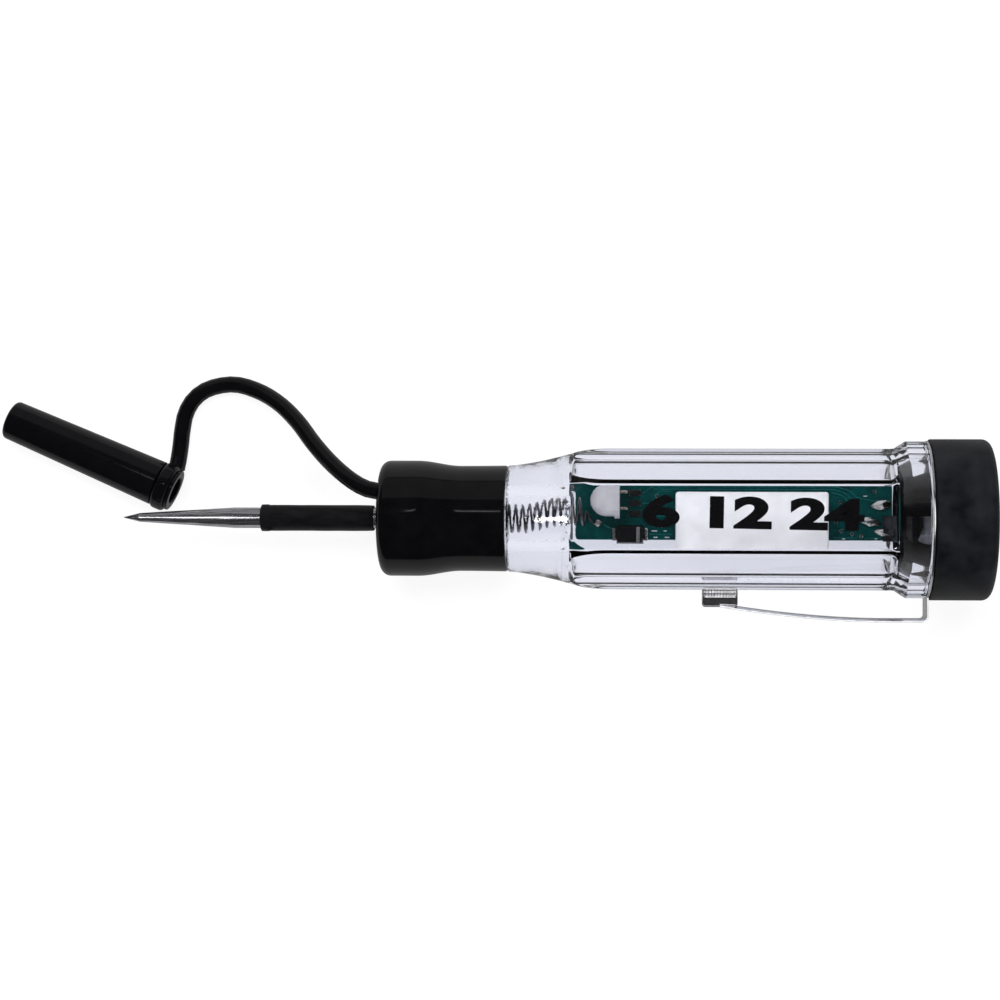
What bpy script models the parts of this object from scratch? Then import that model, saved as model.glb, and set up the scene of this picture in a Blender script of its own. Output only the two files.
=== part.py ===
"""Automotive polarity tester: a needle probe with a clear hexagonal handle.

Units are metres. The tester lies on a table (z = 0) along +X, needle to -X, clip to -Y.
Lengths along the tester's own axis are stations, counted from a mark just behind the point.
The tether and the guard that it holds lie on the table beside the needle.
"""
import math

import bmesh
import bpy
from mathutils import Matrix, Vector

MM = 0.001
frame_size = 10 * MM

# Clearances
slip_fit = 0.1 * MM
seat_gap = 0.15 * MM
thread_gap = 0.3 * MM
board_gap = 0.15 * MM

# Needle and its sleeve
needle_radius = 1.6 * MM
needle_tip = -0.65 * MM
needle_point_end = 1.9 * MM
needle_point_radius = 0.69 * MM
needle_taper_end = 16.8 * MM
needle_end = 46.0 * MM
needle_end_chamfer = 0.3 * MM
sleeve_front = 21.1 * MM
sleeve_rear = 38.7 * MM
sleeve_wall = 0.31 * MM
sleeve_lip = 0.1 * MM
sleeve_lip_length = 1.0 * MM

# Nose grip
nose_front = 39.9 * MM
nose_rear = 59.5 * MM
nose_radius = 8.95 * MM
nose_front_fillet = 1.5 * MM
nose_waist_radius = 8.15 * MM
nose_rear_radius = 8.22 * MM
nose_shoulder_end = 45.5 * MM
nose_waist_start = 52.4 * MM
nose_boss_radius = 2.0 * MM
nose_boss_length = 0.7 * MM
nose_pocket_front = 43.0 * MM
nose_thread_front = 50.0 * MM
nose_thread_radius = 5.5 * MM

# Brass socket that holds the needle and carries the spring
socket_shank_radius = 2.8 * MM
socket_flange_radius = 4.4 * MM
socket_flange_length = 2.1 * MM
socket_cup_depth = 1.4 * MM

# Contact spring
spring_wire = 0.42 * MM
spring_radius = 2.3 * MM
spring_pitch = 1.18 * MM
spring_rear = 71.8 * MM
spring_bend_start = 62.5 * MM
spring_bend_length = 6.0 * MM
spring_bend = 1.1 * MM
spring_cup_play = 0.2 * MM
spring_points_a_turn = 10

# Clear handle
neck_length = 9.55 * MM
neck_end_radius = 10.05 * MM
neck_power = 1.45
shoulder_length = 7.7 * MM
handle_radius = 10.93 * MM
handle_flat_distance = 9.53 * MM
flat_front = 70.1 * MM
flat_front_curve = 0.9 * MM
flat_rear = 117.6 * MM
flat_rear_curve = 2.0 * MM
flare_front = 119.0 * MM
flare_length = 1.8 * MM
flare_radius = 12.1 * MM
flare_edge = 0.25 * MM
handle_rear = 123.7 * MM
spring_bore_radius = 3.5 * MM
bore_front = 69.5 * MM
bore_flat_distance = 8.3 * MM
bore_corner = 0.2 * MM
mouth_front = 119.3 * MM
mouth_radius = 9.6 * MM

# Rear cap
cap_radius = 12.42 * MM
cap_length = 9.4 * MM
cap_rear_fillet = 1.35 * MM
cap_front_chamfer = 0.3 * MM
cap_plug_length = 3.7 * MM
cap_plug_wall = 1.2 * MM
cap_plug_chamfer = 0.4 * MM
cap_end_wall = 5.0 * MM

# Pocket clip
clip_ring_radius = 12.15 * MM
clip_ring_thickness = 0.4 * MM
clip_strip_thickness = 0.5 * MM
clip_width = 4.2 * MM
clip_tip_width = 3.4 * MM
clip_reach = 15.5 * MM
clip_bend = 0.8 * MM
clip_curve_start = 117.0 * MM
clip_curve_power = 1.8
clip_pad_front = 89.6 * MM
clip_pad_length = 5.5 * MM
clip_pad_depth = 2.5 * MM
clip_pad_width = 3.8 * MM
clip_pad_round = 0.7 * MM
clip_pad_gap = 0.12 * MM

# Circuit board, heights counted from the tester's axis
board_front = 69.9 * MM
board_rear = 119.9 * MM
board_low_side = -3.3 * MM
board_high_side = 5.3 * MM
board_top = -2.6 * MM
board_thickness = 1.2 * MM
board_corner = 0.5 * MM
part_bevel = 0.1 * MM

# Parts on the board
led_radius = 2.5 * MM
led_flange_radius = 2.85 * MM
led_flange_length = 0.8 * MM
led_front = 72.3 * MM
led_rear = 76.9 * MM
led_side = 2.85 * MM
led_leg_radius = 0.25 * MM
led_leg_spacing = 2.54 * MM
led_leg_run = 0.9 * MM
diode_centre = 78.45 * MM
diode_side = -2.45 * MM
diode_size = (4.2 * MM, 2.9 * MM, 2.2 * MM)
diode_draft = 0.92
terminal_size = (0.55 * MM, 2.0 * MM, 1.1 * MM)
resistor_centre = 79.2 * MM
resistor_sides = (4.0 * MM, 2.4 * MM, 0.8 * MM)
resistor_size = (1.8 * MM, 0.95 * MM, 0.5 * MM)
spring_solder_place = (73.4 * MM, -0.7 * MM)
spring_solder_size = (1.6 * MM, 1.4 * MM, 0.8 * MM)
rear_solder_places = ((118.6 * MM, 2.2 * MM), (116.2 * MM, -0.2 * MM))
rear_solder_sizes = ((2.6 * MM, 2.0 * MM, 1.0 * MM), (2.4 * MM, 1.3 * MM, 0.9 * MM))
tab_solder_place = (118.7 * MM, -1.5 * MM)
tab_solder_size = (2.0 * MM, 1.3 * MM, 0.8 * MM)

# White light bar over the two signal lights
bar_front = 85.5 * MM
bar_length = 23.5 * MM
bar_width = 9.1 * MM
bar_side = -0.35 * MM
bar_height = 4.1 * MM
bar_wall = 0.8 * MM
bar_round = 0.4 * MM
signal_size = (3.5 * MM, 2.8 * MM, 1.9 * MM)
signal_inset = 5.0 * MM

# Contact leaf from the board to the clip's ring
leaf_thickness = 0.25 * MM
leaf_width = 4.0 * MM
leaf_side = -1.45 * MM
leaf_foot_front = 117.6 * MM
leaf_foot_rear = 119.6 * MM
leaf_knee = 121.7 * MM
leaf_gap = 0.12 * MM
leaf_slot_play = 0.3 * MM
leaf_bends = ((0.25, 0.08), (1.0, 0.35), (1.0, 0.65))

# Tether and tip guard
cord_diameter = 2.6 * MM
cord_hole_play = 0.3 * MM
cord_hole_depth = 4.5 * MM
cord_hole_side = 4.15 * MM
cord_hole_height = 5.26 * MM
cord_steps = 24
guard_length = 28.6 * MM
guard_end_radius = 3.1 * MM
guard_mouth_radius = 3.55 * MM
guard_end_round = 0.7 * MM
guard_bore_radius = 2.1 * MM
guard_end_wall = 1.6 * MM
guard_groove_front = 25.7 * MM
guard_groove_radius = 2.95 * MM
guard_lip_radius = 3.3 * MM
guard_lip_length = 0.5 * MM
ring_radius = 3.8 * MM
ring_round = 0.6 * MM
ring_stub_station = 28.1 * MM
ring_stub_inner = 3.6 * MM
ring_stub_outer = 4.9 * MM
ring_stub_dip = math.radians(20.0)
ring_stub_lean = math.radians(16.0)
guard_turn = math.radians(-23.3)
guard_place = (-86.18 * MM, 17.165 * MM)

# The tether's centreline on the table, in millimetres, from the nose to the guard's ring
cord_route = (
    (-23.1, 5.83, 14.28), (-25.7, 5.83, 14.17), (-28.4, 6.1, 14.02), (-31.1, 7.45, 13.25),
    (-34.4, 10.07, 11.25), (-37.5, 13.27, 8.8), (-40.2, 16.57, 6.3), (-43.3, 19.47, 4.0),
    (-46.8, 21.57, 2.18), (-50.8, 22.77, 1.5), (-54.6, 22.27, 1.35), (-57.1, 20.77, 1.35),
    (-58.65, 18.4, 1.35), (-59.25, 15.6, 1.35), (-59.52, 12.9, 1.45), (-59.73, 10.74, 2.065),
)

# Roundness
round_steps = 48
small_steps = 32
fine_steps = 24
arc_steps = 5
curve_steps = 8
rest_steps = 60

# Sizes that follow from those above
handle_front = nose_rear + seat_gap
spigot_front = nose_thread_front + thread_gap + socket_flange_length + thread_gap
kink = handle_front + neck_length
clip_ring_front = handle_rear + slip_fit
cap_front = clip_ring_front + clip_ring_thickness + slip_fit
cap_rear = cap_front + cap_length
plug_front = cap_front - cap_plug_length
plug_radius = mouth_radius - thread_gap
clip_ring_bore = plug_radius + seat_gap
needle_bore = needle_radius + slip_fit
spring_front = spigot_front - socket_cup_depth
spring_turns = math.floor((spring_rear - spring_front - spring_wire) / spring_pitch)
clip_pad_reach = handle_radius + clip_pad_gap + clip_pad_depth
clip_curve_drop = clip_reach - clip_pad_reach + clip_strip_thickness / 2
board_face = board_top + board_gap


def clear_scene():
    for thing in list(bpy.data.objects):
        bpy.data.objects.remove(thing, do_unlink=True)


def new_collection(name):
    collection = bpy.data.collections.new(name)
    bpy.context.scene.collection.children.link(collection)
    return collection


def new_material(name, colour, roughness, metallic=0.0, alpha=1.0, transmission=0.0):
    material = bpy.data.materials.new(name)
    material.use_nodes = True
    shader = material.node_tree.nodes["Principled BSDF"]
    shader.inputs["Base Color"].default_value = (*colour, 1.0)
    shader.inputs["Roughness"].default_value = roughness
    shader.inputs["Metallic"].default_value = metallic
    shader.inputs["Alpha"].default_value = alpha
    shader.inputs["Transmission Weight"].default_value = transmission
    return material


def arc(station, radius, size, start, end, steps=arc_steps):
    """Points of an arc about (station, radius); 0 degrees points to the rear, 90 outwards."""
    points = []
    for i in range(steps + 1):
        angle = math.radians(start + (end - start) * i / steps)
        points.append((station + size * math.cos(angle), radius + size * math.sin(angle)))
    return points


def add_object(name, mesh, material, parent=None, collection=None):
    thing = bpy.data.objects.new(name, mesh)
    (collection or parts).objects.link(thing)
    thing.parent = parent
    if material:
        mesh.materials.append(material)
    return thing


def mesh_object(name, bm, material, parent=None, collection=None):
    mesh = bpy.data.meshes.new(name)
    bm.to_mesh(mesh)
    bm.free()
    return add_object(name, mesh, material, parent, collection)


def bake(thing, sharp=30.0):
    """Turns an object's modifiers into its mesh, smooth but for its sharp edges."""
    depsgraph = bpy.context.evaluated_depsgraph_get()
    mesh = bpy.data.meshes.new_from_object(thing.evaluated_get(depsgraph))
    mesh.name = thing.name
    thing.modifiers.clear()
    thing.data = mesh
    mesh.shade_smooth()
    mesh.set_sharp_from_angle(angle=math.radians(sharp))
    return thing


def turned(name, outline, material, parent, closed=False, steps=round_steps, collection=None):
    """A turned piece along its parent's X axis; the outline runs down its outer side from the rear."""
    bm = bmesh.new()
    half_step = math.pi / steps
    corners = [
        bm.verts.new((radius * math.cos(half_step), radius * math.sin(half_step), station))
        for station, radius in outline
    ]
    for first, second in zip(corners, corners[1:]):
        bm.edges.new((first, second))
    if closed:
        bm.edges.new((corners[-1], corners[0]))
    thing = mesh_object(name, bm, material, parent, collection)
    thing.rotation_euler = (0.0, math.pi / 2, 0.0)
    screw = thing.modifiers.new("Turn", "SCREW")
    screw.steps = steps
    screw.render_steps = steps
    screw.use_merge_vertices = True
    screw.merge_threshold = 0.000001
    return bake(thing)


def block(name, size, place, material, parent, bevel=0.0, segments=2, collection=None):
    """A box of the given size about its place, with rounded edges."""
    bm = bmesh.new()
    bmesh.ops.create_cube(bm, size=1.0)
    bmesh.ops.scale(bm, vec=size, verts=bm.verts)
    if bevel:
        bmesh.ops.bevel(bm, geom=bm.edges[:], offset=bevel, segments=segments, profile=0.5,
                        affect="EDGES")
    thing = mesh_object(name, bm, material, parent, collection)
    thing.location = place
    return thing


def dome(name, size, place, material, parent):
    """A bead of solder: the upper half of a flattened ball, standing on its place."""
    bm = bmesh.new()
    bmesh.ops.create_uvsphere(bm, u_segments=12, v_segments=8, radius=1.0)
    lower = [corner for corner in bm.verts if corner.co.z < -0.1]
    bmesh.ops.delete(bm, geom=lower, context="VERTS")
    bmesh.ops.contextual_create(bm, geom=[edge for edge in bm.edges if edge.is_boundary])
    bmesh.ops.recalc_face_normals(bm, faces=bm.faces[:])
    bmesh.ops.scale(bm, vec=(size[0] / 2, size[1] / 2, size[2]), verts=bm.verts)
    thing = mesh_object(name, bm, material, parent)
    thing.location = place
    thing.data.shade_smooth()
    return thing


def wire(name, points, radius, material, parent):
    """A round wire through the points, with filled ends."""
    curve = bpy.data.curves.new(name, "CURVE")
    curve.dimensions = "3D"
    curve.bevel_depth = radius
    curve.bevel_resolution = 2
    curve.use_fill_caps = True
    line = curve.splines.new("POLY")
    line.points.add(len(points) - 1)
    for knot, point in zip(line.points, points):
        knot.co = (*point, 1.0)
    return add_object(name, curve, material, parent)


def strip(name, path, widths, across, thickness, material, parent, collection=None):
    """A bent strip of sheet along a path, its width laid along the direction across."""
    bm = bmesh.new()
    across = Vector(across)
    rows = [
        [bm.verts.new(Vector(point) + side * width / 2 * across) for side in (-1, 1)]
        for point, width in zip(path, widths)
    ]
    for first, second in zip(rows, rows[1:]):
        bm.faces.new((first[0], second[0], second[1], first[1]))
    thing = mesh_object(name, bm, material, parent, collection)
    solidify = thing.modifiers.new("Sheet", "SOLIDIFY")
    solidify.thickness = thickness
    solidify.offset = 0.0
    solidify.use_even_offset = True
    return bake(thing)


def boolean(thing, tool, operation="DIFFERENCE"):
    change = thing.modifiers.new(tool.name, "BOOLEAN")
    change.operation = operation
    change.solver = "EXACT"
    change.object = tool
    tool.hide_render = True
    tool.display_type = "WIRE"


def facet(steps):
    """How far out a turned piece's flat facets lie, as a share of its radius."""
    return math.cos(math.pi / steps)


def lying(front_places, rear, rear_distance):
    """Tilt and height of an axis that rests on its rear place and on the lowest of the others.

    A place is a station and the distance from the axis down to the piece's underside there.
    """
    tilt = min(math.atan((rear_distance - distance) / (rear - station))
               for station, distance in front_places)
    return tilt, rear_distance * math.cos(tilt) - rear * math.sin(tilt)


def add_frame(name, place, tilt, turn):
    frame = bpy.data.objects.new(name, None)
    bpy.context.scene.collection.objects.link(frame)
    frame.empty_display_size = frame_size
    frame.location = place
    frame.rotation_euler = (0.0, -tilt, turn)
    return frame


def tester_frame():
    """The tester's own axes, placed so that its box is centred over the table's origin."""
    share = facet(round_steps)
    places = [(nose_front + nose_front_fillet, nose_radius * share)]
    places += [(station, min(shoulder_radius(station) * share, flat_distance(station)))
               for station in spread(kink, flat_front, rest_steps)]
    tilt, height = lying(places, cap_front + cap_front_chamfer, cap_radius * share)
    flat_face = (cap_radius - cap_rear_fillet) * share
    rear = (cap_rear - cap_rear_fillet) * math.cos(tilt) + flat_face * math.sin(tilt)
    rear += cap_rear_fillet
    middle = (rear + needle_tip * math.cos(tilt)) / 2
    side = (clip_reach + clip_strip_thickness / 2 - cap_radius * share) / 2
    return add_frame("tester_axis", (-middle, side, height), tilt, 0.0)


def guard_frame():
    """The guard's own axes: origin at its closed end, along the guard to its mouth."""
    share = facet(small_steps)
    tilt, height = lying([(guard_end_round, guard_end_radius * share)],
                         guard_groove_front + slip_fit + ring_round, ring_radius * share)
    return add_frame("guard_axis", (*guard_place, height), tilt, guard_turn)


def probe_needle():
    outline = [
        (needle_end, 0.0),
        (needle_end, needle_radius - needle_end_chamfer),
        (needle_end - needle_end_chamfer, needle_radius),
        (needle_taper_end, needle_radius),
        (needle_point_end, needle_point_radius),
        (needle_tip, 0.0),
    ]
    turned("probe_needle", outline, steel, tester, steps=small_steps)


def needle_sleeve():
    outer = needle_bore + sleeve_wall
    outline = [
        (sleeve_rear, needle_bore),
        (sleeve_rear, outer - sleeve_lip),
        (sleeve_rear - sleeve_lip, outer),
        (sleeve_front + 2 * sleeve_lip_length, outer),
        (sleeve_front + sleeve_lip_length, outer + sleeve_lip),
        (sleeve_front + sleeve_lip, outer + sleeve_lip),
        (sleeve_front, outer),
        (sleeve_front, needle_bore),
    ]
    turned("needle_sleeve", outline, sleeve_black, tester, closed=True, steps=small_steps)


def nose_outer_radius(station):
    """Blends the shoulder into the waist, then widens slightly to the rear face."""
    if station <= nose_waist_start:
        part = (station - nose_shoulder_end) / (nose_waist_start - nose_shoulder_end)
        blend = (1 + math.cos(math.pi * part)) / 2
        return nose_waist_radius + (nose_radius - nose_waist_radius) * blend
    part = (station - nose_waist_start) / (nose_rear - nose_waist_start)
    return nose_waist_radius + (nose_rear_radius - nose_waist_radius) * part ** 2


def spread(start, end, steps):
    return [start + (end - start) * i / steps for i in range(steps + 1)]


def nose_grip():
    """Threaded nose that holds the needle's socket, with a blind hole for the tether."""
    stations = spread(nose_rear, nose_waist_start, 3)
    stations += spread(nose_waist_start, nose_shoulder_end, curve_steps)[1:]
    outline = [(station, nose_outer_radius(station)) for station in stations]
    outline += arc(nose_front + nose_front_fillet, nose_radius - nose_front_fillet,
                   nose_front_fillet, 90, 180)
    pocket_radius = socket_shank_radius + slip_fit
    outline += [
        (nose_front, nose_boss_radius),
        (nose_front - nose_boss_length, nose_boss_radius),
        (nose_front - nose_boss_length, needle_bore),
        (nose_pocket_front, needle_bore),
        (nose_pocket_front, pocket_radius),
        (nose_thread_front, pocket_radius),
        (nose_thread_front, nose_thread_radius),
        (nose_rear, nose_thread_radius),
    ]
    grip = turned("nose_grip", outline, gloss_black, tester, closed=True)
    hole_radius = cord_diameter / 2 + cord_hole_play
    hole_end = nose_front + cord_hole_depth
    hole_start = nose_front - cord_diameter
    hole = turned("tether_hole", [
        (hole_end, 0.0), (hole_end, hole_radius), (hole_start, hole_radius), (hole_start, 0.0),
    ], None, tester, steps=fine_steps, collection=cutters)
    hole.location = (0.0, cord_hole_side, cord_hole_height)
    boolean(grip, hole)


def needle_socket():
    shank_front = nose_pocket_front + thread_gap
    flange_front = nose_thread_front + thread_gap
    flange_rear = flange_front + socket_flange_length
    cup_floor = flange_rear - socket_cup_depth
    cup_radius = spring_radius + spring_cup_play
    bore_end = needle_end + thread_gap
    outline = [
        (cup_floor, 0.0),
        (cup_floor, cup_radius),
        (flange_rear, cup_radius),
        (flange_rear, socket_flange_radius),
        (flange_front, socket_flange_radius),
        (flange_front, socket_shank_radius),
        (shank_front, socket_shank_radius),
        (shank_front, needle_bore),
        (bore_end, needle_bore),
        (bore_end, 0.0),
    ]
    turned("needle_socket", outline, brass, tester, steps=small_steps)


def spring_side(station):
    """How far the spring's centre has bent sideways at a station."""
    part = min(1.0, max(0.0, (station - spring_bend_start) / spring_bend_length))
    return spring_bend * (1 - math.cos(math.pi * part)) / 2


def contact_spring():
    """Coil from the socket's cup into the handle, its last wire led down to the board."""
    middle = spring_radius - spring_wire / 2
    first = spring_front + spring_wire / 2
    points = []
    for i in range(spring_turns * spring_points_a_turn + 1):
        turn = i / spring_points_a_turn
        station = first + spring_pitch * turn
        angle = 2 * math.pi * turn - math.pi / 2
        points.append((station, spring_side(station) + middle * math.cos(angle),
                       middle * math.sin(angle)))
    end = points[-1]
    wire_height = board_face + spring_wire / 2
    solder_front = spring_solder_place[0] - spring_solder_size[0] / 2
    points.append((end[0] + spring_wire, end[1] - spring_wire, wire_height))
    points.append((solder_front - slip_fit, spring_solder_place[1], wire_height))
    wire("contact_spring", points, spring_wire / 2, spring_steel, tester)


def shoulder_radius(station):
    """The handle's round radius behind the kink, before its flats are cut."""
    part = min(1.0, (station - kink) / shoulder_length)
    return neck_end_radius + (handle_radius - neck_end_radius) * (1 - (1 - part) ** 3)


def flat_distance(station):
    """How far the bottom of a flat's run-in lies from the axis, ahead of the flat."""
    ahead = min(flat_front - station, flat_front_curve)
    return handle_flat_distance + flat_front_curve - math.sqrt(flat_front_curve ** 2 - ahead ** 2)


def handle_outline():
    outline = [
        (handle_rear, mouth_radius),
        (handle_rear, flare_radius - flare_edge),
        (handle_rear - flare_edge, flare_radius),
        (flare_front + flare_length, flare_radius),
        (flare_front, handle_radius),
    ]
    outline += [(station, shoulder_radius(station))
                for station in spread(kink + shoulder_length, kink, curve_steps)]
    for i in range(1, curve_steps + 1):
        part = 1 - i / curve_steps
        radius = nose_rear_radius + (neck_end_radius - nose_rear_radius) * part ** neck_power
        outline.append((handle_front + neck_length * part, radius))
    spigot_radius = nose_thread_radius - thread_gap
    outline += [
        (handle_front, spigot_radius),
        (spigot_front, spigot_radius),
        (spigot_front, spring_bore_radius),
        (mouth_front, spring_bore_radius),
        (mouth_front, mouth_radius),
    ]
    return outline


def flat_cutter(index):
    """Cuts one of the six flats, with a short curve at either end."""
    height = 2 * flat_rear_curve
    side = [
        *arc(flat_front, handle_flat_distance + flat_front_curve, flat_front_curve, 180, 270),
        *arc(flat_rear, handle_flat_distance + flat_rear_curve, flat_rear_curve, 270, 360),
    ]
    side.append((side[-1][0], handle_flat_distance + height))
    side.append((side[0][0], handle_flat_distance + height))
    bm = bmesh.new()
    ring = [bm.verts.new((station, -handle_radius, distance)) for station, distance in side]
    face = bm.faces.new(ring)
    grown = bmesh.ops.extrude_face_region(bm, geom=[face])
    far = [item for item in grown["geom"] if isinstance(item, bmesh.types.BMVert)]
    bmesh.ops.translate(bm, vec=(0.0, 2 * handle_radius, 0.0), verts=far)
    bmesh.ops.recalc_face_normals(bm, faces=bm.faces[:])
    cutter = mesh_object(f"handle_flat_{index + 1}", bm, None, tester, cutters)
    cutter.rotation_euler = (index * math.pi / 3, 0.0, 0.0)
    return cutter


def bore_cutter():
    """Hexagonal cavity whose sides run parallel to the handle's flats."""
    rear = mouth_front + thread_gap
    length = rear - bore_front
    bm = bmesh.new()
    bmesh.ops.create_cone(bm, cap_ends=True, segments=6, depth=length,
                          radius1=bore_flat_distance / math.cos(math.pi / 6),
                          radius2=bore_flat_distance / math.cos(math.pi / 6))
    long_edges = [edge for edge in bm.edges
                  if abs(edge.verts[0].co.z - edge.verts[1].co.z) > length / 2]
    bmesh.ops.bevel(bm, geom=long_edges, offset=bore_corner, segments=4, profile=0.5,
                    affect="EDGES")
    first = next(face for face in bm.faces if abs(face.normal.z) < 0.5
                 and face.calc_area() > length * bore_corner)
    turn = math.atan2(first.normal.y, first.normal.x)
    bmesh.ops.rotate(bm, cent=(0.0, 0.0, 0.0), matrix=Matrix.Rotation(-turn, 3, "Z"),
                     verts=bm.verts)
    cutter = mesh_object("handle_bore", bm, None, tester, cutters)
    cutter.rotation_euler = (0.0, math.pi / 2, 0.0)
    cutter.location = ((bore_front + rear) / 2, 0.0, 0.0)
    return cutter


def clear_handle():
    handle = turned("clear_handle", handle_outline(), clear_plastic, tester, closed=True)
    for index in range(6):
        boolean(handle, flat_cutter(index))
    boolean(handle, bore_cutter())


def rear_cap():
    """Rubber cap whose plug fills the handle's mouth, slotted for the contact leaf."""
    outline = [(cap_rear, 0.0)]
    outline += arc(cap_rear - cap_rear_fillet, cap_radius - cap_rear_fillet,
                   cap_rear_fillet, 0, 90)
    hollow_radius = plug_radius - cap_plug_wall
    hollow_end = cap_rear - cap_end_wall
    outline += [
        (cap_front + cap_front_chamfer, cap_radius),
        (cap_front, cap_radius - cap_front_chamfer),
        (cap_front, plug_radius),
        (plug_front + cap_plug_chamfer, plug_radius),
        (plug_front, plug_radius - cap_plug_chamfer),
        (plug_front, hollow_radius),
        (hollow_end, hollow_radius),
        (hollow_end, 0.0),
    ]
    cap = turned("rear_cap", outline, rubber_black, tester)
    slot_front = plug_front - thread_gap
    slot_rear = cap_front + slip_fit
    slot = block("leaf_slot", (slot_rear - slot_front, leaf_width + 2 * leaf_slot_play,
                               plug_radius / 2),
                 ((slot_front + slot_rear) / 2, leaf_side, plug_radius), None, tester,
                 collection=cutters)
    boolean(cap, slot)


def clip_path():
    """Centreline of the clip's strip, from its tab along the tester to its pad."""
    ring_middle = clip_ring_front + clip_ring_thickness / 2
    pad_middle = clip_pad_front + clip_pad_length / 2
    path = [(ring_middle, -clip_ring_radius + clip_strip_thickness)]
    path += [(station, -distance) for station, distance in
             arc(ring_middle - clip_bend, clip_reach - clip_bend, clip_bend, 0, 90)]
    run = clip_curve_start - pad_middle
    for station in spread(clip_curve_start, pad_middle, curve_steps):
        part = (clip_curve_start - station) / run
        path.append((station, -clip_reach + clip_curve_drop * part ** clip_curve_power))
    return path


def pocket_clip():
    """Sprung ring held under the cap, with a strip that presses its pad on the handle."""
    ring_rear = clip_ring_front + clip_ring_thickness
    clip = turned("pocket_clip", [
        (ring_rear, clip_ring_bore), (ring_rear, clip_ring_radius),
        (clip_ring_front, clip_ring_radius), (clip_ring_front, clip_ring_bore),
    ], chrome, tester, closed=True)
    path = clip_path()
    front, rear = path[-1][0], path[0][0]
    widths = [clip_tip_width + (clip_width - clip_tip_width) * (point[0] - front) / (rear - front)
              for point in path]
    arm = strip("clip_strip", [(*point, 0.0) for point in path], widths, (0.0, 0.0, 1.0),
                clip_strip_thickness, None, tester, cutters)
    pad_side = clip_pad_depth / 2 - clip_pad_reach
    pad = block("clip_pad", (clip_pad_length, clip_pad_depth, clip_pad_width),
                (clip_pad_front + clip_pad_length / 2, pad_side, 0.0), None, tester,
                bevel=clip_pad_round, segments=3, collection=cutters)
    boolean(clip, arm, "UNION")
    boolean(clip, pad, "UNION")


def circuit_board():
    length = board_rear - board_front
    width = board_high_side - board_low_side
    bm = bmesh.new()
    bmesh.ops.create_cube(bm, size=1.0)
    bmesh.ops.scale(bm, vec=(length, width, board_thickness), verts=bm.verts)
    upright = [edge for edge in bm.edges
               if abs(edge.verts[0].co.z - edge.verts[1].co.z) > board_thickness / 2]
    bmesh.ops.bevel(bm, geom=upright, offset=board_corner, segments=2, profile=0.5,
                    affect="EDGES")
    board = mesh_object("circuit_board", bm, board_green, tester)
    board.location = ((board_front + board_rear) / 2, (board_low_side + board_high_side) / 2,
                      board_top - board_thickness / 2)


def front_light():
    """Clear lamp lying on the board, dome to the needle, with its two legs bent down."""
    height = board_face + led_flange_radius
    body_rear = led_rear - led_flange_length
    outline = [
        (led_rear, 0.0), (led_rear, led_flange_radius), (body_rear, led_flange_radius),
        (body_rear, led_radius), *arc(led_front + led_radius, 0.0, led_radius, 90, 180),
    ]
    outline[-1] = (led_front, 0.0)
    lamp = turned("front_led", outline, clear_lens, tester, steps=fine_steps)
    lamp.location = (0.0, led_side, height)
    leg_start = led_rear + slip_fit
    leg_foot = board_face + led_leg_radius
    for number, side in ((1, -0.5), (2, 0.5)):
        across = led_side + side * led_leg_spacing
        bend = leg_start + led_leg_run
        wire(f"front_led_leg_{number}", [
            (leg_start, across, height), (bend - led_leg_radius, across, height),
            (bend, across, height - led_leg_radius), (bend, across, leg_foot),
        ], led_leg_radius, solder_metal, tester)


def diode():
    length, width, height = diode_size
    body = block("diode_body", diode_size,
                 (diode_centre, diode_side, board_face + height / 2),
                 matte_black, tester, bevel=part_bevel, segments=1)
    for corner in body.data.vertices:
        if corner.co.z > 0:
            corner.co.x *= diode_draft
            corner.co.y *= diode_draft
    for number, side in ((1, -1), (2, 1)):
        offset = (length + terminal_size[0]) / 2 + slip_fit
        block(f"diode_terminal_{number}", terminal_size,
              (diode_centre + side * offset, diode_side, board_face + terminal_size[2] / 2),
              solder_metal, tester, bevel=part_bevel, segments=1)


def resistors():
    for number, side in enumerate(resistor_sides, start=1):
        block(f"resistor_{number}", resistor_size,
              (resistor_centre, side, board_face + resistor_size[2] / 2),
              chip_grey, tester, bevel=part_bevel, segments=1)


def light_bar():
    """Milky box, open to the board, over a red and a green signal light."""
    middle = bar_front + bar_length / 2
    bar = block("light_bar", (bar_length, bar_width, bar_height),
                (middle, bar_side, board_face + bar_height / 2), milky_white, tester)
    rounding = bar.modifiers.new("Round", "BEVEL")
    rounding.width = bar_round
    rounding.segments = 2
    hollow = block("bar_hollow", (bar_length - 2 * bar_wall, bar_width - 2 * bar_wall, bar_height),
                   (middle, bar_side, board_face + bar_height / 2 - bar_wall), None, tester,
                   collection=cutters)
    boolean(bar, hollow)
    height = board_face + signal_size[2] / 2
    for name, material, station in (
            ("led_red", signal_red, bar_front + signal_inset),
            ("led_green", signal_green, bar_front + bar_length - signal_inset)):
        block(name, signal_size, (station, bar_side, height), material, tester,
              bevel=part_bevel)


def solder_joints():
    dome("spring_solder", spring_solder_size, (*spring_solder_place, board_face),
         solder_metal, tester)
    pairs = zip(rear_solder_places, rear_solder_sizes)
    for number, (place, size) in enumerate(pairs, start=1):
        dome(f"rear_solder_{number}", size, (*place, board_face), solder_metal, tester)
    dome("rear_solder_3", tab_solder_size,
         (*tab_solder_place, board_face + leaf_thickness + board_gap), solder_metal, tester)


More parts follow.
